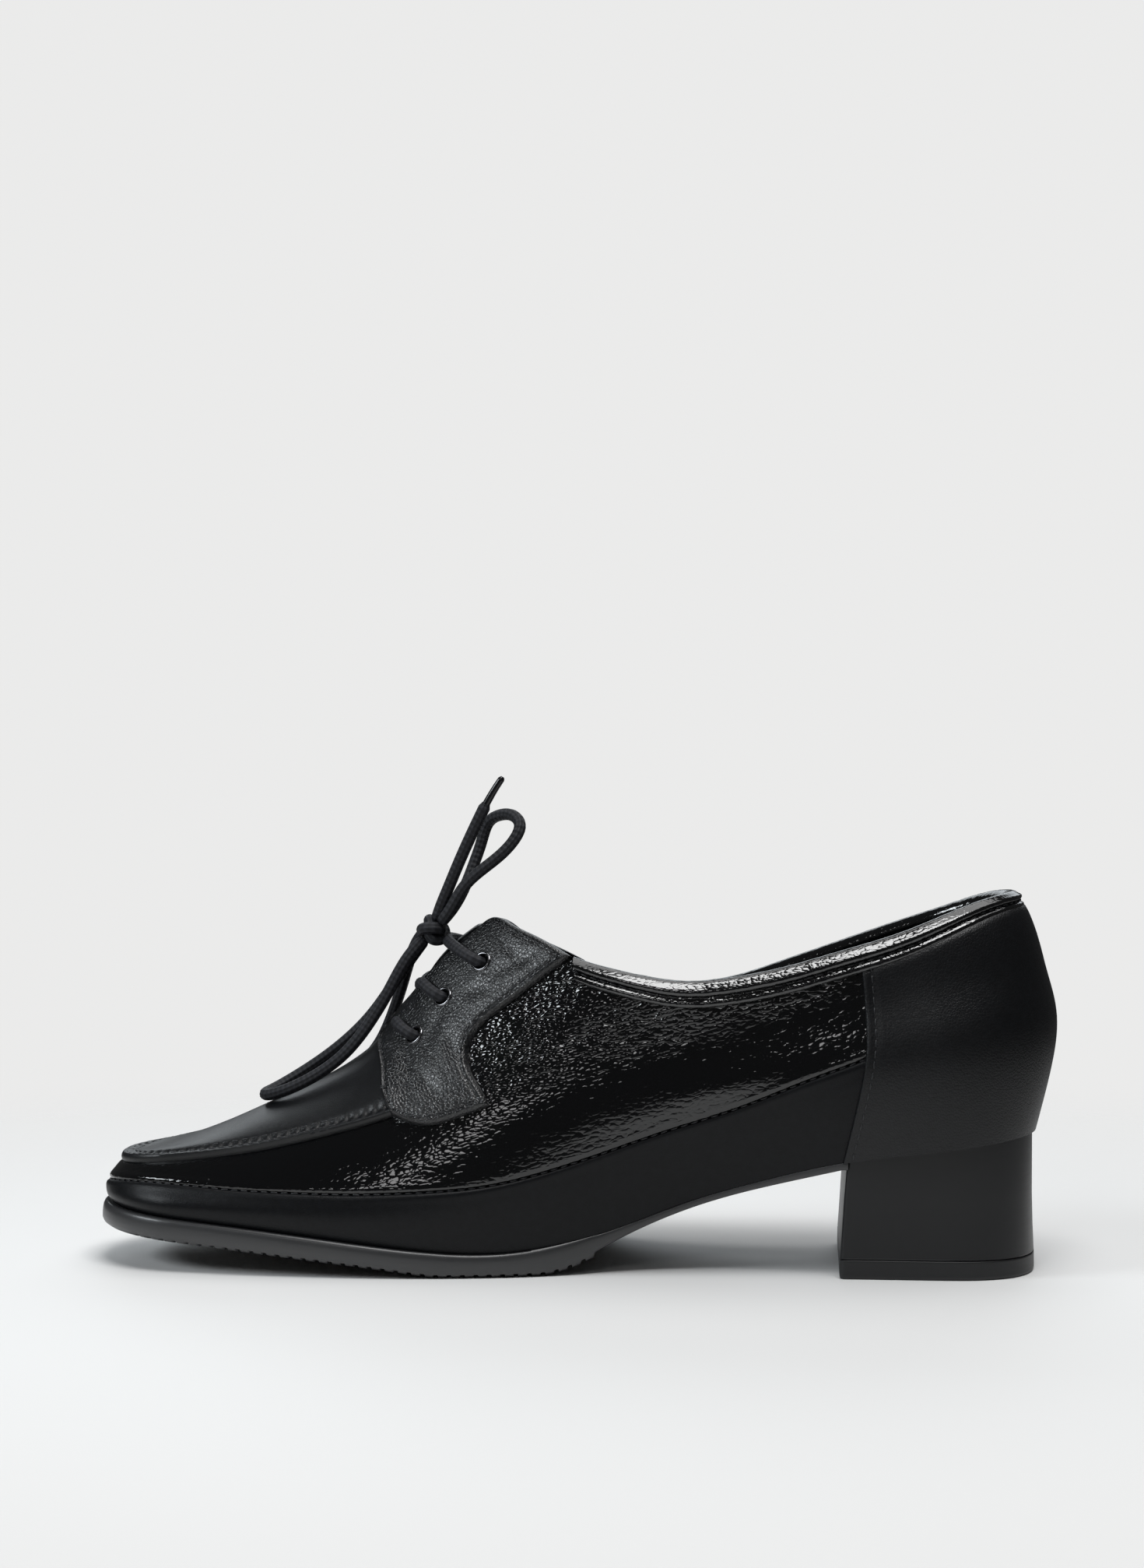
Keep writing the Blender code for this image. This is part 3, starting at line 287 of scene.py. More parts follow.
@dataclass
class Last:
    """The form that the panels lie on.

    A place on it is (t, rise): t runs from 0 at the heel's back to 1 at the toe, and rise from -1
    at the inner feather line over 0 on the ridge to 1 at the outer feather line.
    """

    half_length: float = 125.7
    rises: tuple[float, ...] = (1.0, 0.8, 0.5, 0.25, 0.0)
    lines: tuple[Line, ...] = (FEATHER, WALL, SHOULDER, CROWN, RIDGE)
    edge_steps: int = 500
    edge_search: int = 1201
    place_search: int = 241
    place_rounds: int = 12
    shown_rounds: int = 4
    step: float = 1e-3
    normal_step: float = 1e-4
    normal_ends: Span = (0.004, 0.994)
    knots: Array = field(init=False)
    bends: Array = field(init=False)
    edges: dict[Side, Array] = field(init=False)

    def __post_init__(self) -> None:
        """Works out the section's spline and the wall's upper edge."""
        self.knots = np.array([-rise for rise in self.rises] + list(self.rises[-2::-1]))
        self.bends = spline_bends(self.knots, np.eye(len(self.knots)))
        at = np.linspace(0, 1, self.edge_steps + 1)
        self.edges = {side: np.array([self.find_edge(t, side) for t in at]) for side in Side}
        middle = sum(rises[0] for rises in self.edges.values()) / 2
        for rises in self.edges.values():
            rises[0] = middle

    def half_width(self, line: Line, station: Array, side: Side) -> Array:
        """Half width of a line of the last on one side."""
        wide = column(line.rows, side.name.lower(), station)
        heel = end_round(station - line.first, line.heel_round, line.heel_power)
        toe = end_round(line.last - station, line.toe_round, line.toe_power)
        return wide * heel * toe

    def middle(self, station: Array) -> Array:
        """Sideways place of the shoe's middle."""
        return column(CENTRE, "half", station)

    def line_points(self, line: Line, side: Side, t: Array) -> Array:
        """Points of one line of the last."""
        station = line.station(t)
        across = self.middle(station) + side.value * self.half_width(line, station, side)
        return np.stack([self.half_length - station, across, column(line.rows, "height", station)], -1)

    def point(self, t: Array, rise: Array) -> Array:
        """Points of the last.

        Args:
            t: Share of the way from heel to toe.
            rise: Place across the section.

        Returns:
            Points in millimetres, of the shape of t and rise with a last axis of three.
        """
        t, rise = np.broadcast_arrays(np.asarray(t, float), np.asarray(rise, float))
        points = [self.line_points(line, Side.INNER, t) for line in self.lines]
        points += [self.line_points(line, Side.OUTER, t) for line in self.lines[-2::-1]]
        points = np.stack(points)
        bends = np.tensordot(self.bends, points, 1)
        k = np.clip(np.searchsorted(self.knots, rise) - 1, 0, len(self.knots) - 2)
        wide = np.diff(self.knots)[k][..., None]
        low = (self.knots[k + 1] - rise)[..., None] / wide
        high = 1 - low
        here, ahead = k[None, ..., None], (k + 1)[None, ..., None]
        bend = (low ** 3 - low) * np.take_along_axis(bends, here, 0)[0]
        bend += (high ** 3 - high) * np.take_along_axis(bends, ahead, 0)[0]
        flat = low * np.take_along_axis(points, here, 0)[0]
        flat += high * np.take_along_axis(points, ahead, 0)[0]
        return flat + bend * wide ** 2 / 6

    def side_normal(self, t: Array, rise: Array) -> Array:
        """Normals from small steps along and across, taken just inside the ends."""
        small = self.normal_step
        inside = np.clip(t, *self.normal_ends)
        along = self.point(inside + small, rise) - self.point(inside - small, rise)
        up = self.point(inside, rise + small) - self.point(inside, rise - small)
        normal = np.cross(up, along)
        return normal / np.linalg.norm(normal, axis=-1, keepdims=True)

    def normal(self, t: Array, rise: Array) -> Array:
        """Outward normals, the same from both sides at the heel's back and the toe."""
        t, rise = np.broadcast_arrays(np.asarray(t, float), np.asarray(rise, float))
        normal = self.side_normal(t, rise)
        mirrored = self.side_normal(t, -rise) * np.array([1, -1, 1])
        at_end = ((t <= 0) | (t >= 1))[..., None]
        normal = np.where(at_end, (normal + mirrored) * np.array([1, 0, 1]), normal)
        return normal / np.linalg.norm(normal, axis=-1, keepdims=True)

    def skin(self, t: Array, rise: Array, stand: Array) -> Array:
        """Points that stand off the last by a distance."""
        return self.point(t, rise) + self.normal(t, rise) * np.asarray(stand, float)[..., None]

    def ridge_t(self, station: float) -> float:
        """The t whose ridge point lies at a station."""
        share = (station - RIDGE.first) / (RIDGE.last - RIDGE.first)
        return float(np.arccos(1 - 2 * np.clip(share, 0, 1)) / math.pi)

    def place(self, station: float, side: Side, measure: Callable[[Array], Array],
              wanted: float) -> Span:
        """Finds the place at a station where a measure of the point has the value wanted.

        Args:
            station: Distance forward from the heel's back.
            side: The side to look on.
            measure: Takes points to numbers.
            wanted: The number to find.

        Returns:
            The place as (t, rise).
        """
        # The search starts from the ridge, a little inside its ends.
        t = self.ridge_t(min(max(station, RIDGE.first + 2), RIDGE.last - 1))
        rises = np.linspace(0.0, 1.0, self.place_search) * side.value
        for _ in range(self.place_rounds):
            values = measure(self.point(np.full_like(rises, t), rises)) - wanted
            change = np.nonzero(np.diff(np.sign(values)))[0]
            i = change[0] if len(change) else int(np.argmin(np.abs(values[:-1])))
            step = values[i + 1] - values[i]
            share = np.clip(-values[i] / step if step else 0.0, 0, 1)
            rise = rises[i] + share * (rises[i + 1] - rises[i])
            here = self.half_length - self.point(t, rise)[0]
            ahead = self.half_length - self.point(min(t + self.step, 1.0), rise)[0]
            slope = max(ahead - here, self.step)
            t = float(np.clip(t + (station - here) * self.step / slope, 0.0, 1.0))
        return t, float(rise)

    def at_height(self, row: Place, side: Side) -> Span:
        """(t, rise) of a place in side view."""
        return self.place(row.station, side, lambda points: points[:, 2], row.height)

    def at_heights(self, rows: Sequence[Place], side: Side) -> list[Span]:
        """(t, rise) of each of some places in side view."""
        return [self.at_height(row, side) for row in rows]

    def at_gap(self, row: Gap, side: Side) -> Span:
        """(t, rise) of a place beside the ridge."""
        def aside(points: Array) -> Array:
            """Distance from the shoe's middle."""
            return np.abs(points[:, 1] - self.middle(self.half_length - points[:, 0]))
        return self.place(row.station, side, aside, row.half)

    def shown(self, row: Place, side: Side, stand: float) -> Array:
        """The point that stands off the last by a distance and is seen at a place in side view."""
        aim = row
        for _ in range(self.shown_rounds):
            t, rise = self.at_height(aim, side)
            found = self.skin(t, rise, stand)
            aim = Place(aim.station + row.station - self.half_length + found[0],
                        aim.height + row.height - found[2])
        return found

    def find_edge(self, t: float, side: Side) -> float:
        """Rise of the wall's upper edge: the collar, then the slot, then the ridge."""
        rises = np.linspace(0.0, 1.0, self.edge_search)
        points = self.point(np.full_like(rises, t), rises * side.value)
        station = self.half_length - points[:, 0]
        over = points[:, 2] > column(TOPLINE, side.name.lower(), station)
        over &= station < TOPLINE[-1].station
        aside = np.abs(points[:, 1] - self.middle(station))
        slot = aside < column(SLOT, "half", station)
        slot &= (station > SLOT[0].station) & (station < SLOT[-1].station)
        outside = np.nonzero(over | slot)[0]
        return float(rises[outside[-1]]) if len(outside) else 0.0

    def edge(self, t: Array, side: Side) -> Array:
        """Rise of the wall's upper edge, without its sign."""
        return np.interp(t, np.linspace(0, 1, self.edge_steps + 1), self.edges[side])

    def rise_length(self, t: Array, rise: Array) -> Array:
        """Millimetres of skin for one unit of rise."""
        apart = self.point(t, rise + self.step) - self.point(t, rise - self.step)
        return np.linalg.norm(apart, axis=-1) / (2 * self.step)


Link = Union["Value", float, tuple, Socket, Node]


class Noise(NamedTuple):
    """A soft noise: how often it changes in a millimetre, and its levels of detail."""

    scale: float
    detail: float = 2.0


class Graph:
    """A node tree, with one method that makes any node."""

    def __init__(self, tree: bpy.types.NodeTree) -> None:
        """Keeps the tree."""
        self.tree = tree

    def node(self, kind: str, settings: Optional[dict] = None,
             inputs: Optional[dict[Union[str, int], Link]] = None) -> Node:
        """Makes a node.

        Args:
            kind: The node's type.
            settings: Properties of the node, set first.
            inputs: Values or links of its sockets, by name or place.

        Returns:
            The node.
        """
        made = self.tree.nodes.new(kind)
        for name, value in (settings or {}).items():
            setattr(made, name, value)
        for name, value in (inputs or {}).items():
            self.feed(made.inputs[name], value)
        return made

    def feed(self, socket: Socket, value: Link) -> None:
        """Links a socket or sets its value. A node stands for its first output."""
        if isinstance(value, Value):
            value = value.socket
        elif isinstance(value, Node):
            value = value.outputs[0]
        if isinstance(value, Socket):
            self.tree.links.new(value, socket)
        else:
            socket.default_value = value

    def math(self, operation: str, *values: Link) -> "Value":
        """A Math node on one to three values."""
        made = self.node("ShaderNodeMath", {"operation": operation}, dict(enumerate(values)))
        return Value(self, made.outputs[0])

    def millimetres(self, stretch: Triple = (1.0, 1.0, 1.0), lean: float = 0.0) -> Socket:
        """Object coordinates in millimetres, turned about Y and then stretched along the axes."""
        place = self.node("ShaderNodeTexCoord")
        return self.node("ShaderNodeMapping", {"vector_type": "TEXTURE"}, {
            "Vector": place.outputs["Object"], "Rotation": (0.0, lean, 0.0),
            "Scale": tuple(MM * each for each in stretch)}).outputs[0]

    def axis(self, vector: Socket, name: str) -> "Value":
        """One axis of a vector."""
        return Value(self, self.node("ShaderNodeSeparateXYZ", inputs={0: vector}).outputs[name])

    def noise_node(self, vector: Socket, noise: Noise) -> Node:
        """A node of soft noise."""
        return self.node("ShaderNodeTexNoise", inputs={
            "Vector": vector, "Scale": noise.scale, "Detail": noise.detail})

    def noise(self, vector: Socket, noise: Noise) -> "Value":
        """Soft noise from 0 to 1."""
        return Value(self, self.noise_node(vector, noise).outputs["Fac"])

    def warped(self, vector: Socket, noise: Noise, reach: float) -> Socket:
        """A vector pushed about by noise."""
        push = self.noise_node(vector, noise).outputs["Color"]
        return self.node("ShaderNodeVectorMath", {"operation": "MULTIPLY_ADD"},
                         {0: push, 1: (reach, reach, reach), 2: vector}).outputs[0]

    def cells(self, vector: Socket, scale: float, feature: str = "F1") -> "Value":
        """Distance in a pattern of cells."""
        made = self.node("ShaderNodeTexVoronoi", {"feature": feature}, {"Vector": vector, "Scale": scale})
        return Value(self, made.outputs["Distance"])

    def tones(self, share: "Value", colour: Colour, tones: Span) -> Socket:
        """A colour that runs from one of two tones of itself to the other."""
        low, high = [(*[each * tone for each in colour], 1.0) for tone in tones]
        return self.node("ShaderNodeMix", {"data_type": "RGBA"}, {0: share, 6: low, 7: high}).outputs[2]

    def bump(self, shader: Node, height: "Value") -> None:
        """Raises a shader's normal by a height in millimetres."""
        made = self.node("ShaderNodeBump", inputs={"Strength": 1.0, "Distance": MM, "Height": height})
        self.tree.links.new(made.outputs["Normal"], shader.inputs["Normal"])

    def leather_normal(self) -> Socket:
        """The normals that a mesh of points keeps."""
        return self.node("GeometryNodeInputNamedAttribute", {"data_type": "FLOAT_VECTOR"},
                         {"Name": NORMAL}).outputs[0]

    def joined(self, instances: Node, finish: "Finish") -> Node:
        """Makes instances one smooth mesh with a finish."""
        whole = self.node("GeometryNodeRealizeInstances", inputs={0: instances})
        smooth = self.node("GeometryNodeSetShadeSmooth", inputs={0: whole})
        return self.node("GeometryNodeSetMaterial", inputs={0: smooth, "Material": finish.material()})


def operator(name: str, swapped: bool = False) -> Callable[["Value", Link], "Value"]:
    """A Python operator that adds a Math node, with its two sides swapped or not."""
    def apply(value: "Value", other: Link) -> "Value":
        """Adds the node."""
        return value.graph.math(name, *((other, value) if swapped else (value, other)))
    return apply


class Value:
    """A number from a shader socket, on which Python's operators add Math nodes."""

    def __init__(self, graph: Graph, socket: Socket) -> None:
        """Keeps the socket and the graph it is in."""
        self.graph = graph
        self.socket = socket

    __add__ = operator("ADD")
    __radd__ = operator("ADD", True)
    __sub__ = operator("SUBTRACT")
    __rsub__ = operator("SUBTRACT", True)
    __mul__ = operator("MULTIPLY")

    def sine(self) -> "Value":
        """Sine."""
        return self.graph.math("SINE", self)

    def soft(self, low: float, high: float) -> "Value":
        """Grows softly from 0 at low to 1 at high."""
        made = self.graph.node("ShaderNodeMapRange", {"interpolation_type": "SMOOTHSTEP"},
                               {"Value": self, "From Min": low, "From Max": high})
        return Value(self.graph, made.outputs["Result"])


@dataclass(frozen=True)
class Finish:
    """A plain finish: colour, roughness and gloss, with a fine mottle in its roughness."""

    name: str
    colour: Colour
    roughness: float
    specular: float = 0.5
    metallic: float = 0.0
    mottle: Noise = Noise(0.4)
    spread: float = 0.3

    def material(self) -> bpy.types.Material:
        """The finish's material, made on its first use."""
        found = bpy.data.materials.get(self.name)
        if found:
            return found
        made = bpy.data.materials.new(self.name)
        made.use_nodes = True
        shader = made.node_tree.nodes["Principled BSDF"]
        shader.inputs["Base Color"].default_value = (*self.colour, 1.0)
        shader.inputs["Roughness"].default_value = self.roughness
        shader.inputs["Specular IOR Level"].default_value = self.specular
        shader.inputs["Metallic"].default_value = self.metallic
        self.dress(Graph(made.node_tree), shader)
        return made

    def vary(self, graph: Graph, shader: Node, noise: Value) -> None:
        """Spreads the roughness about its mean by a noise."""
        least = self.roughness * (1 - self.spread / 2)
        graph.feed(shader.inputs["Roughness"], least + noise * (self.roughness * self.spread))

    def dress(self, graph: Graph, shader: Node) -> None:
        """Adds the surface's own detail."""
        self.vary(graph, shader, graph.noise(graph.millimetres(), self.mottle))


@dataclass(frozen=True)
class CrinklePatent(Finish):
    """Black patent leather, crinkled into small domes below the collar and next to the facing.

    The crinkled band lies above a line that climbs towards the heel, and ends short of the toe.
    """

    cell: float = 1.1
    stretch: Triple = (1.5, 1.0, 0.85)
    lean: float = math.radians(-14)
    warp: Noise = Noise(0.3)
    warp_reach: float = 2.2
    depth: float = 0.36
    flat_share: float = 0.2
    climb: float = 0.3
    band: Span = (44.0, 60.0)
    toe_end: Span = (-58.0, -34.0)
    patches: Noise = Noise(0.16)
    patch_range: Span = (0.36, 0.6)
    patch_least: float = 0.3
    patch_more: float = 0.6
    mottle: Noise = Noise(0.24, 3.0)
    spread: float = 0.4
    swell: float = 0.09
    even: bool = False

    def strength(self, graph: Graph, place: Socket) -> Link:
        """How deep the crinkles are at a place, from 0 to 1."""
        if self.even:
            return 1.0
        plain = graph.millimetres()
        x = graph.axis(plain, "X")
        upper = (graph.axis(plain, "Z") - x * self.climb).soft(*self.band) * x.soft(*self.toe_end)
        patchy = graph.noise(place, self.patches).soft(*self.patch_range)
        return self.flat_share + upper * (self.patch_least + patchy * self.patch_more)

    def dress(self, graph: Graph, shader: Node) -> None:
        """Domed cells in warped streaks over a soft swell."""
        place = graph.millimetres(self.stretch, self.lean)
        away = graph.cells(graph.warped(place, self.warp, self.warp_reach), 1 / self.cell)
        relief = away * away * self.strength(graph, place) * -self.depth
        swell = graph.noise(place, self.mottle)
        graph.bump(shader, relief + swell * self.swell)
        self.vary(graph, shader, swell)


@dataclass(frozen=True)
class GrainLeather(Finish):
    """Dyed leather with a fine pebble grain."""

    pebble: float = 0.5
    depth: float = 0.012
    warp: Noise = Noise(1.1)
    warp_reach: float = 0.5
    crease: float = 0.2
    swell: Noise = Noise(0.22, 3.0)
    soft_swell: float = 0.03
    wear: Noise = Noise(0.07, 4.0)
    wear_spread: float = 0.1
    pebble_spread: float = 0.06
    mottle: Noise = Noise(0.5, 5.0)
    mottle_range: Span = (0.3, 0.75)
    tones: Span = (1.0, 1.5)

    def dress(self, graph: Graph, shader: Node) -> None:
        """Pebbles with creases between them, a soft swell and a worn sheen."""
        place = graph.millimetres()
        bent = graph.warped(place, self.warp, self.warp_reach)
        pebbles = graph.cells(bent, 1 / self.pebble, "SMOOTH_F1")
        creases = graph.cells(bent, 1 / self.pebble, "DISTANCE_TO_EDGE").soft(0.0, self.crease)
        swell = graph.noise(place, self.swell)
        graph.bump(shader, (creases - pebbles) * self.depth + swell * self.soft_swell)
        least = self.roughness - self.wear_spread / 2
        worn = graph.noise(place, self.wear) * self.wear_spread
        graph.feed(shader.inputs["Roughness"], least + worn + pebbles * self.pebble_spread)
        mottle = graph.noise(place, self.mottle).soft(*self.mottle_range)
        graph.feed(shader.inputs["Base Color"], graph.tones(mottle, self.colour, self.tones))


@dataclass(frozen=True)
class MouldedRubber(Finish):
    """Matt rubber or painted heel with a fine skin and faint rubbed streaks."""

    skin: float = 0.012
    streak: float = 0.0
    mottle: Noise = Noise(2.4, 4.0)
    streaks: Noise = Noise(0.9, 3.0)
    stretch: Triple = (14.0, 6.0, 0.7)
    gloss: float = 0.06
    spread: float = 0.08

    def dress(self, graph: Graph, shader: Node) -> None:
        """A fine skin, with streaks that run along the shoe."""
        fine = graph.noise(graph.millimetres(), self.mottle)
        streaks = graph.noise(graph.millimetres(self.stretch), self.streaks)
        graph.bump(shader, fine * self.skin + streaks * self.streak)
        least = self.roughness - self.gloss
        graph.feed(shader.inputs["Roughness"], least + fine * self.spread + streaks * self.spread)


@dataclass(frozen=True)
class BraidedCord(Finish):
    """Round waxed braid, patterned along its own UV map: millimetres along and turns round. Its colour has
    painted shade in the weave's valleys and painted light on the strands' crowns.
    """

    strand: float = 1.5
    strands: int = 4
    depth: float = 0.13
    mottle: Noise = Noise(5.0, 4.0)
    fuzz: float = 0.06
    spread: float = 0.15
    # Weave heights over which the colour runs from painted shade in the valleys to painted light on the
    # crowns, and the colour's two shares for them.
    painted_shade_range: Span = (-0.7, 0.7)
    tones: Span = (0.55, 1.35)

    def dress(self, graph: Graph, shader: Node) -> None:
        """Two sets of strands that cross, with fuzz, and painted shade between the strands with painted
        light on their crowns.
        """
        uv = graph.node("ShaderNodeUVMap", {"uv_map": BRAID}).outputs[0]
        along = graph.axis(uv, "X") * (math.pi / self.strand)
        around = graph.axis(uv, "Y") * (2 * math.pi * self.strands)
        weave = (along + around).sine() * (along - around).sine()
        fuzz = graph.noise(graph.millimetres(), self.mottle)
        graph.bump(shader, weave * self.depth + fuzz * self.fuzz)
        # Painted shade and light: the colour follows the weave's height, darker in its valleys and lighter
        # on its crowns.
        shade = graph.tones(weave.soft(*self.painted_shade_range), self.colour, self.tones)
        graph.feed(shader.inputs["Base Color"], shade)
        graph.feed(shader.inputs["Roughness"], self.roughness + fuzz * self.spread)


@dataclass(frozen=True)
class FloorFinish(Finish):
    """Pale floor that fades out into the pale surround."""

    fade_start: float = 140.0
    fade_end: float = 430.0

    def dress(self, graph: Graph, shader: Node) -> None:
        """Fades by the distance from the shoe."""
        place = graph.millimetres()
        length = graph.node("ShaderNodeVectorMath", {"operation": "LENGTH"}, {0: place}).outputs[1]
        away = Value(graph, length)
        graph.feed(shader.inputs["Alpha"], 1 - away.soft(self.fade_start, self.fade_end))


PATENT = CrinklePatent("crinkle_patent", PATENT_BLACK, 0.06, 0.75)
BINDING_PATENT = CrinklePatent("binding_patent", PATENT_BLACK, 0.1, 1.0,
                               cell=0.8, depth=0.05, swell=0.04, even=True)
SMOOTH = GrainLeather("satin_leather", LEATHER_BLACK, 0.34, 0.21)
APRON_LEATHER = GrainLeather("apron_leather", LEATHER_BLACK, 0.34, 0.5)
COUNTER_LEATHER = GrainLeather("counter_leather", LEATHER_BLACK, 0.36, 0.4, pebble=0.7, depth=0.022)
PEBBLED = GrainLeather("pebbled_leather", LEATHER_BLACK, 0.27, 0.8,
                       pebble=0.85, depth=0.055, soft_swell=0.05)
LINING = GrainLeather("lining_leather", (0.012, 0.012, 0.013), 0.62, 0.35, depth=0.008)
RUBBER = MouldedRubber("tread_rubber", (0.027, 0.0275, 0.0292), 0.34, 0.75)
LIFT_RUBBER = MouldedRubber("lift_rubber", (0.0072, 0.0076, 0.0086), 0.44)
HEEL_PAINT = MouldedRubber("heel_paint", (0.0068, 0.0072, 0.0082), 0.38, skin=0.008, streak=0.01)
THREAD = Finish("stitch_thread", (0.016, 0.0168, 0.019), 0.4)
CORD = BraidedCord("lace_braid", (0.015, 0.0158, 0.02), 0.58, 0.4)
AGLET = Finish("aglet_film", (0.006, 0.006, 0.007), 0.22)
STEEL = Finish("eyelet_steel", (0.22, 0.22, 0.23), 0.16, metallic=1.0)
# Near-black plug in each eyelet's hole: painted shade inside the hole.
PAINTED_HOLE_SHADE = Finish("painted_eyelet_shade", (0.002, 0.002, 0.002), 0.9, 0.1)
PALE_FLOOR = FloorFinish("pale_floor", (0.85, 0.85, 0.845), 0.6, 0.3)


def add_object(name: str, data: bpy.types.ID) -> Thing:
    """A new object in the scene."""
    thing = bpy.data.objects.new(name, data)
    bpy.context.scene.collection.objects.link(thing)
    return thing


def smooth_faces(mesh: bpy.types.Mesh) -> None:
    """Shades a mesh smooth, apart from its sharp edges."""
    mesh.shade_smooth()
    mesh.set_sharp_from_angle(angle=SHARP_EDGE)


def make_piece(name: str, points: Array, faces: Sequence[Sequence[int]], finishes: Sequence[Finish],
               picks: Optional[Sequence[int]] = None, outward: bool = True) -> Thing:
    """A mesh object from points in millimetres, with doubled points joined.

    Args:
        name: The object's name.
        points: Points, one row each.
        faces: Faces as indices of points.
        finishes: The finishes of its material slots.
        picks: Slot of each face. The first slot where it is left out.
        outward: Whether a closed mesh is turned right side out.

    Returns:
        The object, in the scene.
    """
    mesh = bpy.data.meshes.new(name)
    mesh.from_pydata((np.asarray(points, float) * MM).tolist(), [], [list(face) for face in faces])
    for finish in finishes:
        mesh.materials.append(finish.material())
    if picks is not None:
        mesh.polygons.foreach_set("material_index", np.asarray(picks, np.int32))
    shape = bmesh.new()
    shape.from_mesh(mesh)
    bmesh.ops.remove_doubles(shape, verts=shape.verts[:], dist=WELD)
    bmesh.ops.dissolve_degenerate(shape, edges=shape.edges[:], dist=WELD)
    if outward:
        bmesh.ops.recalc_face_normals(shape, faces=shape.faces[:])
    shape.to_mesh(mesh)
    shape.free()
    smooth_faces(mesh)
    return add_object(name, mesh)


def settle(thing: Thing, slot: str, *nodes: str) -> Thing:
    """Lets a piece ride on the shoe, in place of the nodes it stands for."""
    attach(thing, "root")
    if nodes:
        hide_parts(*nodes)
    LOG.info("%s: %d faces", thing.name, len(thing.data.polygons))
    return thing


def grid_faces(rows: int, columns: int, start: int = 0) -> list[list[int]]:
    """Quads of a grid of points kept row by row."""
    first = (np.arange(rows - 1)[:, None] * columns + np.arange(columns - 1)[None]).ravel() + start
    return np.stack([first, first + columns, first + columns + 1, first + 1], -1).tolist()


def ring_faces(rings: int, count: int) -> list[list[int]]:
    """Quads between neighbouring rings of equal length, with both ends filled."""
    faces = []
    for here in range(0, (rings - 1) * count, count):
        ahead = here + count
        for j in range(count):
            k = (j + 1) % count
            faces.append([here + j, here + k, ahead + k, ahead + j])
    faces.append(list(range(count))[::-1])
    faces.append([(rings - 1) * count + j for j in range(count)])
    return faces


def strip_faces(rings: int, count: int) -> list[list[int]]:
    """Quads between rings that run down one side and up the other, with strips across both ends."""
    faces = ring_faces(rings, count)[:-2]
    for start in (0, (rings - 1) * count):
        faces += [[start + j, start + j + 1, start + count - 2 - j, start + count - 1 - j]
                  for j in range(count // 2 - 1)]
    return faces


def circle(count: int, along: Array, across: Array) -> Array:
    """Points of a circle of radius 1 about the origin, from its two axes."""
    turn = np.linspace(0, 2 * math.pi, count, endpoint=False)[:, None]
    return np.cos(turn) * along + np.sin(turn) * across


def make_rings(name: str, rings: Sequence[Array], finish: Finish, strips: bool = False) -> Thing:
    """A closed piece through rings of equal length, its ends filled whole or by strips across."""
    faces = (strip_faces if strips else ring_faces)(len(rings), len(rings[0]))
    return make_piece(name, np.concatenate(rings), faces, [finish])


class Rolled(NamedTuple):
    """Which edges of a plate roll down to what it lies on."""

    start: bool = False
    end: bool = False
    low: bool = False
    high: bool = False


ALL_ROUND = Rolled(True, True, True, True)
FRONT_AND_BACK = Rolled(start=True, end=True)


class Grid(NamedTuple):
    """A plate's places, their points and their distances from its four edges."""

    t: Array
    rise: Array
    points: Array
    start: Array
    end: Array
    low: Array
    high: Array


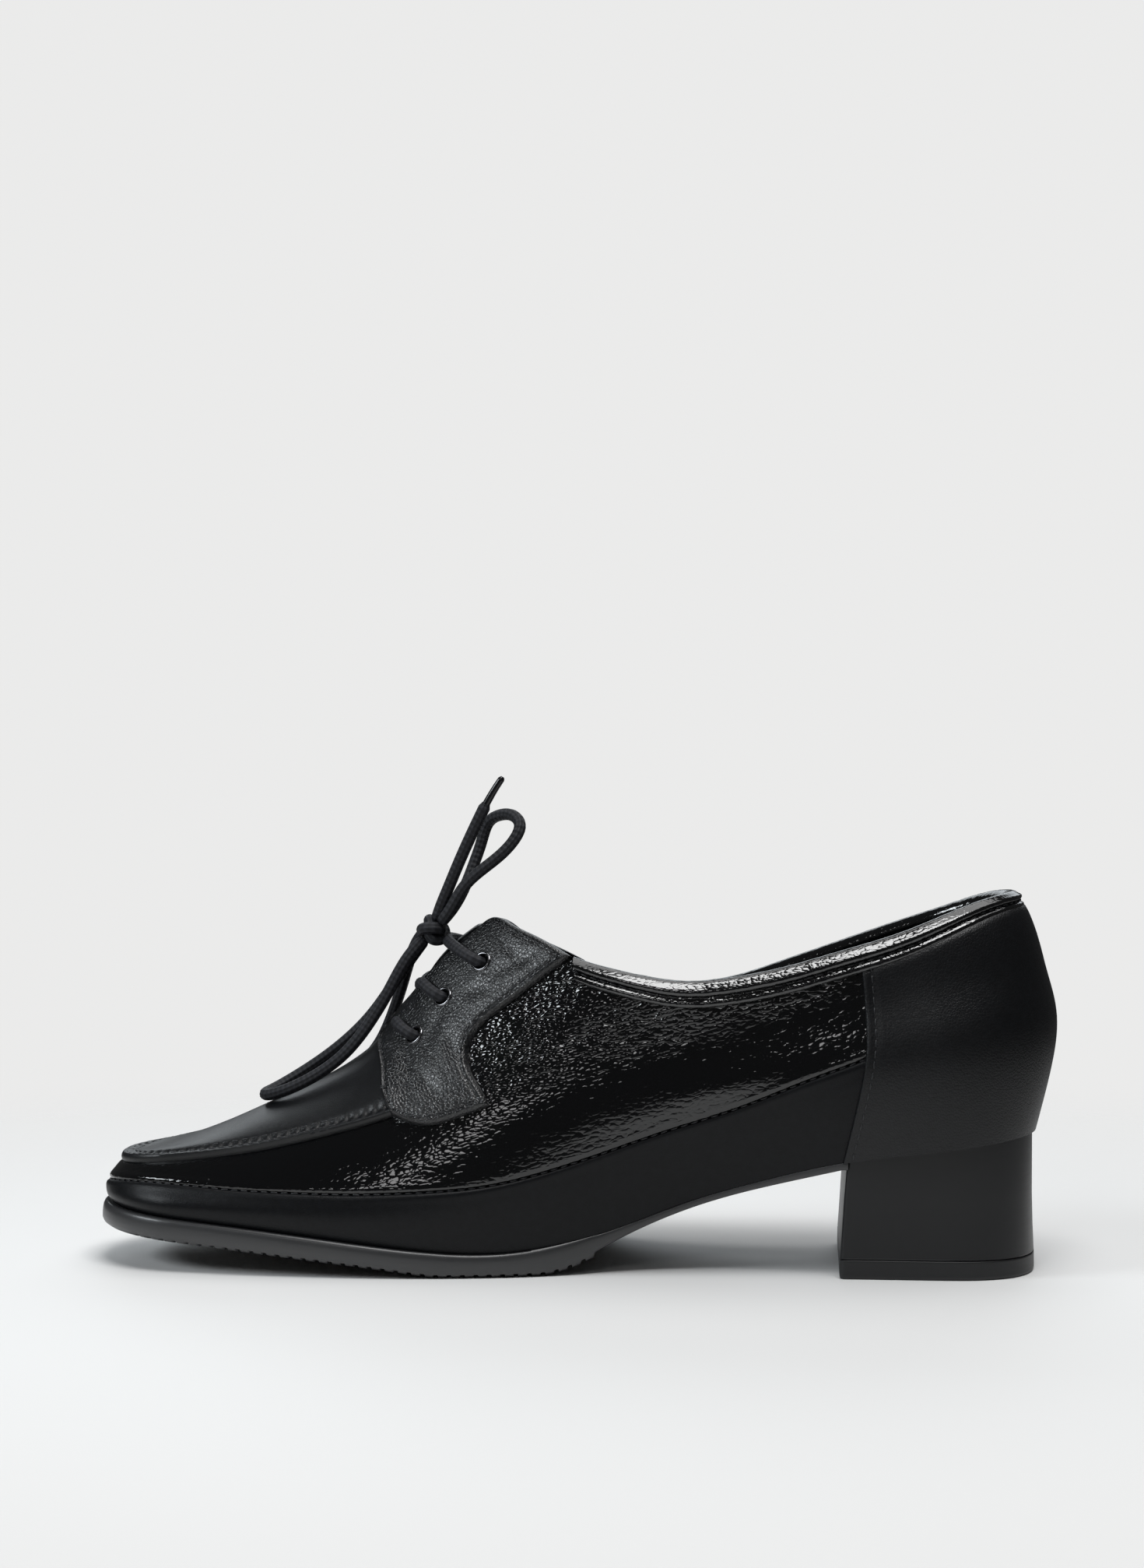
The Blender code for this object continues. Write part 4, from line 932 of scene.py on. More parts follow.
@dataclass
class Plate:
    """A curved sheet of leather over the last, with rolled edges.

    A zipped plate has its high edge folded onto itself at the toe, so no rim is made there.
    """

    last: Last
    along: int
    up: int
    base: float
    thick: float
    roll: float
    rolled: Rolled
    zipped: bool = False
    fine: int = 240
    roll_steps: int = 5
    roll_share: float = 0.45

    def spread(self, total: float, steps: int, start: bool, end: bool) -> Array:
        """Distances along a run, closer together where its ends roll."""
        turn = 1 - np.cos(np.linspace(0, math.pi / 2, self.roll_steps))
        reach = min(self.roll, self.roll_share * total)
        head = turn * reach if start else np.zeros(1)
        tail = total - turn[::-1] * reach if end else np.full(1, total)
        return np.concatenate([head[:-1], np.linspace(head[-1], tail[0], steps), tail[1:]])

    def shares(self, lines: Array, steps: int, start: bool, end: bool) -> Array:
        """Shares along each line of points for the plate's spread of distances."""
        at = np.linspace(0, 1, lines.shape[0])
        found = []
        for k in range(lines.shape[1]):
            run = run_length(lines[:, k])
            found.append(np.interp(self.spread(run[-1], steps, start, end), run, at))
        return np.stack(found, 1)

    def grid(self, coords: Coords) -> Grid:
        """The plate's places, spaced for its rolled edges."""
        at = np.linspace(0, 1, self.fine)
        ways_u = (self.along, self.rolled.start, self.rolled.end)
        ways_v = (self.up, self.rolled.low, self.rolled.high)
        middle = np.full(self.fine, 0.5)
        u = self.shares(self.last.point(*coords(at, middle))[:, None], *ways_u)[:, 0]
        v = self.shares(self.last.point(*coords(middle, at))[:, None], *ways_v)[:, 0]
        lines_u = self.last.point(*coords(*np.meshgrid(at, v, indexing="ij")))
        lines_v = self.last.point(*coords(*np.meshgrid(at, u, indexing="ij")[::-1]))
        grid_u = self.shares(lines_u, *ways_u)
        grid_v = self.shares(lines_v, *ways_v).T
        t, rise = coords(grid_u, grid_v)
        points = self.last.point(t, rise)
        across = np.linalg.norm(np.diff(points, axis=0), axis=-1)
        upward = np.linalg.norm(np.diff(points, axis=1), axis=-1)
        start = np.concatenate([np.zeros((1, points.shape[1])), np.cumsum(across, 0)])
        low = np.concatenate([np.zeros((points.shape[0], 1)), np.cumsum(upward, 1)], 1)
        return Grid(t, rise, points, start, start[-1:] - start, low, low[:, -1:] - low)

    def faces(self, rows: int, columns: int) -> list[list[int]]:
        """Faces of the sheet's two sides and of the rims between them."""
        count = rows * columns
        faces = grid_faces(rows, columns)
        faces += [face[::-1] for face in grid_faces(rows, columns, count)]
        rims = [[i * columns for i in range(rows)], list(range(columns))]
        rims.append([count - columns + j for j in range(columns)])
        if not self.zipped:
            rims.append([i * columns + columns - 1 for i in range(rows)])
        return faces + [[a, b, b + count, a + count] for rim in rims for a, b in zip(rim[:-1], rim[1:])]

    def build(self, name: str, coords: Coords, finish: Finish, relief: Relief) -> Thing:
        """Makes the sheet.

        Args:
            name: The piece's name.
            coords: Takes shares along and up to places on the last.
            finish: Its leather.
            relief: Height to add to the sheet's face.

        Returns:
            The piece.
        """
        grid = self.grid(coords)
        inside = np.full(grid.t.shape, np.inf)
        for edge in Rolled._fields:
            if getattr(self.rolled, edge):
                inside = np.minimum(inside, getattr(grid, edge))
        left = 1 - np.clip(inside / self.roll, 0, 1)
        height = self.thick * np.sqrt(1 - left ** 2)
        height += relief(grid) * smooth_step(inside, 0.0, self.roll)
        normal = self.last.normal(grid.t, grid.rise)
        points = [(grid.points + normal * (self.base + stand)[..., None]).reshape(-1, 3)
                  for stand in (height, np.zeros_like(height))]
        return make_piece(name, np.concatenate(points), self.faces(*grid.t.shape), [finish])


class Bead(NamedTuple):
    """A smooth ridge along a line: its height, its distance from the line and its width."""

    height: float
    place: float
    width: float

    def over(self, away: Array) -> Array:
        """Height at distances from the line."""
        return self.height * np.exp(-((away - self.place) / self.width) ** 2)


class Crease(NamedTuple):
    """A soft trough, from one place in side view to another."""

    first: Span
    last: Span
    width: float
    depth: float

    def over(self, places: Array) -> Array:
        """Depth at places in side view, with a low ridge on both sides and ends that fade."""
        run = np.array(self.last) - np.array(self.first)
        place = places - np.array(self.first)
        share = np.clip(place @ run / (run @ run), 0, 1)
        away = np.linalg.norm(place - share[..., None] * run, axis=-1) / self.width
        fade = np.sin(math.pi * np.clip(share, CREASE_END, 1 - CREASE_END)) ** 0.5
        return self.depth * fade * (1 - CREASE_RIDGE * away ** 2) * np.exp(-away ** 2)


def creased(last: Last, creases: Sequence[Crease]) -> Relief:
    """Relief of soft troughs.

    Args:
        last: The form that the creases lie on.
        creases: Where they run and how deep they are.

    Returns:
        A relief for a plate.
    """
    def relief(grid: Grid) -> Array:
        """Sum of the troughs at the plate's points."""
        places = np.stack([last.half_length - grid.points[..., 0], grid.points[..., 2]], -1)
        return -sum(crease.over(places) for crease in creases)
    return relief


def with_normals(name: str, points: Array, normals: Array,
                 edges: Sequence[tuple[int, int]] = ()) -> Thing:
    """An object of bare points or edges that keeps the leather's normals.

    Args:
        name: The object's name.
        points: Points in millimetres.
        normals: The leather's normal at each point.
        edges: Edges as pairs of points.

    Returns:
        The object, in the scene.
    """
    mesh = bpy.data.meshes.new(name)
    mesh.from_pydata((points * MM).tolist(), list(edges), [])
    kept = mesh.attributes.new(NORMAL, "FLOAT_VECTOR", "POINT")
    kept.data.foreach_set("vector", normals.astype(np.float32).ravel())
    return add_object(name, mesh)


def new_tree(name: str, numbers: Sequence[str], whole: Sequence[str] = ()) -> Tree:
    """A geometry node tree from a mesh to a mesh, with named inputs for numbers and whole numbers."""
    tree = bpy.data.node_groups.new(name, "GeometryNodeTree")
    sockets = [("Geometry", "INPUT", "NodeSocketGeometry")]
    sockets += [(each, "INPUT", "NodeSocketFloat") for each in numbers]
    sockets += [(each, "INPUT", "NodeSocketInt") for each in whole]
    sockets += [("Geometry", "OUTPUT", "NodeSocketGeometry")]
    for each, way, kind in sockets:
        tree.interface.new_socket(each, in_out=way, socket_type=kind)
    return tree


def keep_result(thing: Thing, modifier: bpy.types.Modifier) -> None:
    """Makes what a modifier shows the object's own mesh."""
    bpy.context.view_layer.update()
    shown = thing.evaluated_get(bpy.context.evaluated_depsgraph_get())
    mesh = bpy.data.meshes.new_from_object(shown)
    thing.modifiers.remove(modifier)
    thing.data = mesh


def from_nodes(thing: Thing, tree: Tree, inputs: dict[str, Union[float, int]]) -> Thing:
    """Turns an object with a node tree into a plain mesh.

    Args:
        thing: The object that the tree starts from.
        tree: The tree.
        inputs: Values of its named inputs.

    Returns:
        The same object with the tree's result as its mesh and no modifier.
    """
    modifier = thing.modifiers.new("nodes", "NODES")
    modifier.node_group = tree
    for item in tree.interface.items_tree:
        if item.in_out == "INPUT" and item.name in inputs:
            modifier[item.identifier] = inputs[item.name]
    keep_result(thing, modifier)
    return thing


@dataclass
class StitchRuns:
    """Rows of stitches, each a short raised thread, made by one node tree."""

    last: Last
    pitch: float = 2.7
    length: float = 2.1
    thread: float = 0.5
    sink: float = 0.05
    sway: float = 0.09
    seed: int = 7
    segments: int = 8
    rings: int = 6
    runs: list[Array] = field(default_factory=list)

    def add(self, t: Array, rise: Array, stand: Union[float, Array]) -> None:
        """Keeps a row along places on the last, as points with their normals.

        Args:
            t: Share from heel to toe along the row.
            rise: Place across the section along the row.
            stand: Height of the leather under the stitches.
        """
        points = self.last.skin(t, rise, np.broadcast_to(stand, len(t)))
        self.runs.append(np.concatenate([points, self.last.normal(t, rise)], 1))

    def path(self, name: str) -> Thing:
        """All rows as one mesh of edges that keeps the leather's normals."""
        points = np.concatenate(self.runs)
        edges = []
        start = 0
        for run in self.runs:
            edges += [(start + i, start + i + 1) for i in range(len(run) - 1)]
            start += len(run)
        return with_normals(name, points[:, :3], points[:, 3:], edges)

    def tree(self) -> Tree:
        """The node tree: even points along the rows, a thread on each, turned to the leather."""
        tree = new_tree("stitch_rows", ("Pitch", "Length", "Thread", "Sink"), ("Seed",))
        graph = Graph(tree)
        given = graph.node("NodeGroupInput").outputs
        rows = graph.node("GeometryNodeMeshToCurve", inputs={0: given["Geometry"]})
        even = graph.node("GeometryNodeResampleCurve", {"mode": "LENGTH"},
                          {"Curve": rows, "Length": given["Pitch"]})
        spots = graph.node("GeometryNodeCurveToPoints", {"mode": "EVALUATED"}, {0: even})
        normal = graph.leather_normal()
        turn = graph.node("FunctionNodeAxesToRotation", {"primary_axis": "Z", "secondary_axis": "X"},
                          {"Primary Axis": normal, "Secondary Axis": spots.outputs["Tangent"]})
        sway = graph.node("FunctionNodeRandomValue", {"data_type": "FLOAT"},
                          {2: -self.sway, 3: self.sway, "Seed": given["Seed"]}).outputs[1]
        tilt = graph.node("ShaderNodeCombineXYZ", inputs={2: sway})
        rotate = graph.node("FunctionNodeRotateRotation", {"rotation_space": "LOCAL"}, {0: turn, 1: tilt})
        ball = graph.node("GeometryNodeMeshUVSphere", inputs={
            "Segments": self.segments, "Rings": self.rings, "Radius": 0.5})
        size = graph.node("ShaderNodeCombineXYZ", inputs={
            0: given["Length"], 1: given["Thread"], 2: given["Thread"]})
        placed = graph.node("GeometryNodeInstanceOnPoints", inputs={
            "Points": spots, "Instance": ball, "Rotation": rotate, "Scale": size})
        lowered = graph.node("ShaderNodeVectorMath", {"operation": "SCALE"},
                             {0: normal, "Scale": given["Sink"]})
        moved = graph.node("GeometryNodeSetPosition", inputs={0: placed, "Offset": lowered})
        graph.node("NodeGroupOutput", inputs={0: graph.joined(moved, THREAD)})
        return tree

    def build(self, name: str) -> Thing:
        """Runs the tree over the rows and keeps the result as a plain mesh."""
        return from_nodes(self.path(name), self.tree(), {
            "Pitch": self.pitch * MM, "Length": self.length * MM, "Thread": self.thread * MM,
            "Sink": -self.sink * MM, "Seed": self.seed})


@dataclass
class Upper:
    """The wall with its lining, the patent quarters, the mudguard, counter, apron and binding."""

    last: Last
    stitches: StitchRuns
    wall_thick: float = 2.0
    wall_along: int = 260
    wall_up: int = 26
    skin_depth: float = 0.9
    counter_low: Place = Place(54.5, 34.0)
    counter_high: Place = Place(50.0, 76.0)
    counter_stand: float = 1.15
    counter_back: float = 1.7
    counter_thickens: Span = (4.0, 40.0)
    counter_groove: Bead = Bead(0.35, 2.6, 0.6)
    counter_under: float = 1.7
    counter_tuck: Span = (0.2, 1.8)
    counter_edge: float = 0.25
    counter_row: Span = (0.02, 0.985)
    underlap: float = 0.012
    binding_drop: float = 6.0
    binding_end: float = 124.5
    binding_lift: float = 0.5
    binding_flat: float = 0.2
    binding_narrow: float = 0.68
    binding_widens: Span = (0.12, 0.6)
    binding_outside: Span = (-0.5, 0.7)
    binding_points: int = 48
    binding_rings: int = 241
    binding_row: float = 3.2
    binding_row_stand: float = 0.72
    apron_rise: float = 0.5
    apron_back: float = 174.5
    apron_under: float = 0.02
    apron_corner: Span = (0.1, 0.34)
    apron_crowd: float = 1.5
    apron_stand: float = 1.75
    apron_base: float = 0.2
    apron_bead: Bead = Bead(0.3, 1.0, 0.7)
    apron_channel: Bead = Bead(1.0, 3.0, 1.25)
    apron_depth: float = 0.3
    apron_gather: float = 0.4
    apron_tuck: Span = (165.0, 170.5)
    apron_tuck_depth: float = 1.5
    apron_rows: Span = (1.9, 4.1)
    apron_row_start: float = 0.1
    apron_row_toe: float = 0.985
    vamp_edge: float = 0.43
    vamp_starts: Span = (166.0, 178.0)
    seam_toe: float = 20.6
    seam_search: Span = (0.4, 1.0)
    seam_stand: float = -0.45
    seam_swell: Bead = Bead(0.22, 1.5, 1.1)
    seam_fade: float = 1.3
    seam_ends: Span = (0.01, 0.99)
    row_sink: float = 0.2
    seam: tuple[Place, ...] = table(
        Place, (44, 59.5), (51, 56.5), (62, 52.2), (82, 43.9), (101.5, 37.4), (121, 30.6), (141, 25.0),
        (161, 22.6), (181, 21.7), (196, 21.8), (211, 22.1), (231.5, 23.0), (243, 22.6),
    )
    vamp_creases: tuple[Crease, ...] = table(
        Crease, ((204, 33), (201, 27), 3.0, 0.04), ((193, 35), (189, 27), 3.6, 0.05),
        ((182, 36), (177, 28), 4.0, 0.05), ((139, 70), (120, 58), 5.0, 0.22),
        ((146, 54), (126, 44), 6.0, 0.22), ((112, 66), (86, 60), 6.0, 0.2),
        ((70, 72), (58, 60), 4.5, 0.18),
    )
    # The binding's section: climb past the wall's edge and stand-off from its outer face.
    binding: tuple[Span, ...] = (
        (-6.0, 0.1), (-5.95, 0.7), (-5.5, 1.2), (-4.9, 1.35), (-4.0, 1.05), (-3.2, 0.6), (-2.8, 1.25),
        (-2.4, 1.8), (-1.75, 2.05), (-0.6, 1.5), (0.5, 0.9), (1.1, 0.3), (1.4, -0.6), (1.3, -1.7),
        (0.7, -2.8), (-0.5, -3.35), (-2.4, -3.25), (-4.4, -2.95), (-4.6, -2.3), (-2.0, -2.2),
        (0.2, -1.9), (0.3, -0.8), (-2.0, 0.0),
    )

    seam_places: dict[Side, Array] = field(init=False)
    counter_ends: dict[Side, Span] = field(init=False)
    binding_ends: dict[Side, float] = field(init=False)

    def __post_init__(self) -> None:
        """Finds the places of the seam, the counter's front edges and the binding's ends."""
        rises = np.linspace(*self.seam_search, 400)
        toe = self.last.point(np.ones_like(rises), rises)[:, 2]
        end = (1.0, float(np.interp(-self.seam_toe, -toe, rises)))
        self.seam_places, self.counter_ends, self.binding_ends = {}, {}, {}
        for side in Side:
            self.seam_places[side] = np.abs(self.last.at_heights(self.seam, side) + [end])
            low = self.last.at_height(self.counter_low, side)[0]
            self.counter_ends[side] = (low, self.last.at_height(self.counter_high, side)[0])
            height = float(column(TOPLINE, side.name.lower(), self.binding_end))
            self.binding_ends[side] = self.last.at_height(Place(self.binding_end, height), side)[0]

    def seam_rise(self, t: Array, side: Side) -> Array:
        """Rise of the mudguard's seam, without its sign."""
        return spline(*self.seam_places[side].T, t)

    def counter_t(self, share: Array, side: Side) -> Array:
        """t of the counter's front edge, by the share of the way up it."""
        low, high = self.counter_ends[side]
        return low + (high - low) * share

    def binding_share(self, t: Array, side: Side) -> Array:
        """Grows from 0 at the heel's back to 1 along the collar."""
        return smooth_step(t / self.binding_ends[side], *self.binding_widens)

    def binding_scale(self, t: Array, side: Side) -> Array:
        """Share of its full drop that the binding has at t, least at the heel's back."""
        return self.binding_narrow + (1 - self.binding_narrow) * self.binding_share(t, side)

    def by_side(self, t: Array, sign: Array, measure: Callable[[Array, Side], Array]) -> Array:
        """A measure of t, taken on the side that each place is on."""
        return np.where(sign > 0, measure(t, Side.OUTER), measure(t, Side.INNER))

    def around_toe(self, u: Array, v: Array) -> Places:
        """t and side of a panel that runs from under the counter round the toe and back."""
        walk = 2 * u - 1
        sign = np.where(walk > 0, 1, -1)
        back = self.by_side(v, sign, self.counter_t) - self.underlap
        return 1 - np.abs(walk) * (1 - back), sign

    def quarter_places(self, u: Array, v: Array) -> Places:
        """Places of the patent panel, from the mudguard's seam to the collar, slot and apron."""
        t, sign = self.around_toe(u, v)
        low = self.by_side(t, sign, self.seam_rise)
        edge = self.by_side(t, sign, self.last.edge)
        high = np.maximum(edge, self.vamp_edge * smooth_step(RIDGE.station(t), *self.vamp_starts))
        return t, sign * (low + (high - low) * v)

    def mudguard_places(self, u: Array, v: Array) -> Places:
        """Places of the mudguard, from the feather line to its seam."""
        t, sign = self.around_toe(u, v * 0.5)
        high = self.by_side(t, sign, self.seam_rise)
        return t, sign * (1 + (high - 1) * v)

    def counter_places(self, u: Array, v: Array) -> Places:
        """Places of the counter, from its inner front edge round the back to the outer one."""
        walk = 2 * u - 1
        sign = np.where(walk > 0, 1, -1)
        t = np.abs(walk) * self.by_side(v, sign, self.counter_t)
        edge = self.by_side(t, sign, self.last.edge)
        drop = self.binding_drop * self.by_side(t, sign, self.binding_scale) - self.counter_under
        high = edge + drop / self.last.rise_length(t, sign * edge)
        return t, sign * (1 + (high - 1) * v)

    def apron_places(self, u: Array, v: Array) -> Places:
        """Places of the apron, from its inner edge to its outer one and from its back to the toe."""
        rise = (2 * u - 1) * self.apron_rise
        under = self.apron_under * smooth_step(np.abs(rise), *self.apron_corner)
        back = self.last.ridge_t(self.apron_back) - under
        return 1 - (1 - back) * (1 - v) ** self.apron_crowd, rise

    def build_wall(self) -> Thing:
        """The wall as one closed shell with its lining inside, open at collar, throat and below."""
        along, up = self.wall_along, self.wall_up
        t = np.linspace(0, 1, along + 1)
        share = np.linspace(0, 1, up + 1)
        grid_t = np.repeat(t[:, None], up + 1, 1)
        count = (along + 1) * (up + 1)
        points, faces, picks = [], [], []
        for side in Side:
            edge = self.last.edge(t, side)
            rise = side.value * (1 + (edge[:, None] - 1) * share[None])
            start = len(points) * count
            for stand in (-self.skin_depth, -self.wall_thick):
                points.append(self.last.skin(grid_t, rise, np.full_like(rise, stand)).reshape(-1, 3))
            outer = grid_faces(along + 1, up + 1, start)
            inner = grid_faces(along + 1, up + 1, start + count)
            opened = int(np.nonzero(edge > 0)[0][-1]) + 1
            low = [start + i * (up + 1) for i in range(along + 1)]
            high = [start + i * (up + 1) + up for i in range(opened + 1)]
            rims = [[a, b, b + count, a + count] for row in (low, high) for a, b in zip(row[:-1], row[1:])]
            faces += outer + inner + rims
            picks += [0] * len(outer) + [1] * (len(inner) + len(rims))
        return make_piece("upper_wall", np.concatenate(points), faces, [SMOOTH, LINING], picks)

    def stitch_wave(self, along: Array) -> Array:
        """A wave that rises and falls once with each stitch."""
        return np.cos(2 * math.pi * along / self.stitches.pitch)

    def pucker(self, edge: str, depth: float) -> Relief:
        """Relief of small puckers that a seam draws along one edge."""
        def relief(grid: Grid) -> Array:
            """Waves along the edge that fade out from it, and a soft swell beside it."""
            away = getattr(grid, edge)
            waves = depth * self.stitch_wave(grid.start) * np.exp(-away / self.seam_fade)
            return waves + self.seam_swell.over(away)
        return relief

    def apron_relief(self, grid: Grid) -> Array:
        """A bead along the apron's edge and a gathered channel under its two rows of stitches."""
        away = np.minimum(grid.start, grid.end)
        gather = 0.5 + 0.5 * self.stitch_wave(grid.low)
        channel = self.apron_channel.over(away) * (self.apron_depth + self.apron_gather * gather)
        tucked = 1 - smooth_step(self.last.half_length - grid.points[..., 0], *self.apron_tuck)
        return self.apron_bead.over(away) - channel - self.apron_tuck_depth * tucked

    def build_apron(self) -> Thing:
        """The plug on top of the vamp, with its two rows of stitches."""
        plate = Plate(self.last, along=90, up=150, base=-self.apron_base,
                      thick=self.apron_stand + self.apron_base, roll=1.3, rolled=FRONT_AND_BACK, zipped=True)
        piece = plate.build("apron_plug", self.apron_places, APRON_LEATHER, self.apron_relief)
        share = np.linspace(self.apron_row_start, 1, 300)
        for inset in self.apron_rows:
            runs = []
            for sign in (-1, 1):
                t, rise = self.apron_places(np.full_like(share, 0.5 + 0.5 * sign), share)
                run = inset / self.last.rise_length(np.minimum(t, self.apron_row_toe), rise)
                runs.append((t, rise - sign * run))
            t = np.concatenate([runs[0][0], runs[1][0][::-1]])
            rise = np.concatenate([runs[0][1], runs[1][1][::-1]])
            self.stitches.add(t, rise, self.apron_stand - self.row_sink)
        return piece

    def counter_relief(self, grid: Grid) -> Array:
        """The counter thickens towards the heel's back, and thins out under the binding."""
        away = np.minimum(grid.start, grid.end)
        thick = (self.counter_back - self.counter_stand) * smooth_step(away, *self.counter_thickens)
        tucked = 1 - smooth_step(grid.high, *self.counter_tuck)
        sunk = (thick + self.counter_stand - self.counter_edge) * tucked
        return thick - self.counter_groove.over(away) - sunk

    def build_counter(self) -> Thing:
        """The counter, lapped over the quarters, with a row of stitches behind its front edges."""
        plate = Plate(self.last, along=150, up=40, base=-self.skin_depth,
                      thick=self.skin_depth + self.counter_stand, roll=0.6, rolled=FRONT_AND_BACK)
        piece = plate.build("counter", self.counter_places, COUNTER_LEATHER, self.counter_relief)
        share = np.linspace(*self.counter_row, 80)
        for sign in (-1, 1):
            t, rise = self.counter_places(np.full_like(share, 0.5 + sign * 0.5), share)
            small = self.last.step
            step = np.linalg.norm(self.last.point(t, rise) - self.last.point(t - small, rise), axis=-1)
            inset = self.counter_groove.place * small / step
            self.stitches.add(t - inset, rise, self.counter_stand - self.row_sink)
        return piece

    def build_binding(self) -> Thing:
        """A rolled strip folded over the collar's edge from facing to facing."""
        section = np.array(self.binding)
        section = smooth_run(np.concatenate([section, section[:1]]), self.binding_points + 1)[:-1]
        outside = smooth_step(section[:, 1], *self.binding_outside)
        rings, rows, stands = [], [], []
        for step in np.linspace(-1, 1, self.binding_rings):
            side = Side.OUTER if step > 0 else Side.INNER
            t = abs(step) * self.binding_ends[side]
            edge = float(self.last.edge(t, side))
            scale = float(self.last.rise_length(t, side.value * edge))
            narrow = float(self.binding_scale(t, side))
            climb = np.where(section[:, 0] < 0, section[:, 0] * narrow, section[:, 0])
            rise = side.value * (edge - climb / scale)
            back = 1 - float(self.binding_share(t, side))
            stand = section[:, 1] + back * outside * (self.binding_lift - self.binding_flat * section[:, 1])
            rings.append(self.last.skin(np.full(len(section), t), rise, stand))
            rows.append((t, side.value * (edge + self.binding_row * narrow / scale)))
            stands.append(self.binding_row_stand + self.binding_lift * back)
        rows = np.array(rows)
        self.stitches.add(rows[:, 0], rows[:, 1], np.array(stands))
        return make_rings("binding_strip", rings, BINDING_PATENT)

    def seam_row(self) -> None:
        """Stitches that lie in the mudguard's seam."""
        u = np.linspace(*self.seam_ends, 500)
        t, rise = self.mudguard_places(u, np.ones_like(u))
        self.stitches.add(t, rise, self.seam_stand)

    def build(self) -> None:
        """Builds every panel of the upper."""
        creases = creased(self.last, self.vamp_creases)
        drawn = self.pucker("low", depth=0.12)
        skin = {"along": 460, "base": -self.skin_depth, "thick": self.skin_depth, "roll": 1.0}
        settle(self.build_wall(), "insole_leather", "upper")
        quarter = Plate(self.last, up=44, rolled=Rolled(low=True), **skin)
        settle(quarter.build("quarter_vamp", self.quarter_places, PATENT,
                             lambda grid: creases(grid) + drawn(grid)), "patent_leather")
        guard = Plate(self.last, up=22, rolled=Rolled(high=True), **skin)
        settle(guard.build("mudguard", self.mudguard_places, SMOOTH, self.pucker("high", depth=0.08)),
               "smooth_leather")
        settle(self.build_counter(), "smooth_leather", "heel_counter")
        settle(self.build_apron(), "smooth_leather", "apron")
        settle(self.build_binding(), "patent_leather", "collar_binding")
        self.seam_row()


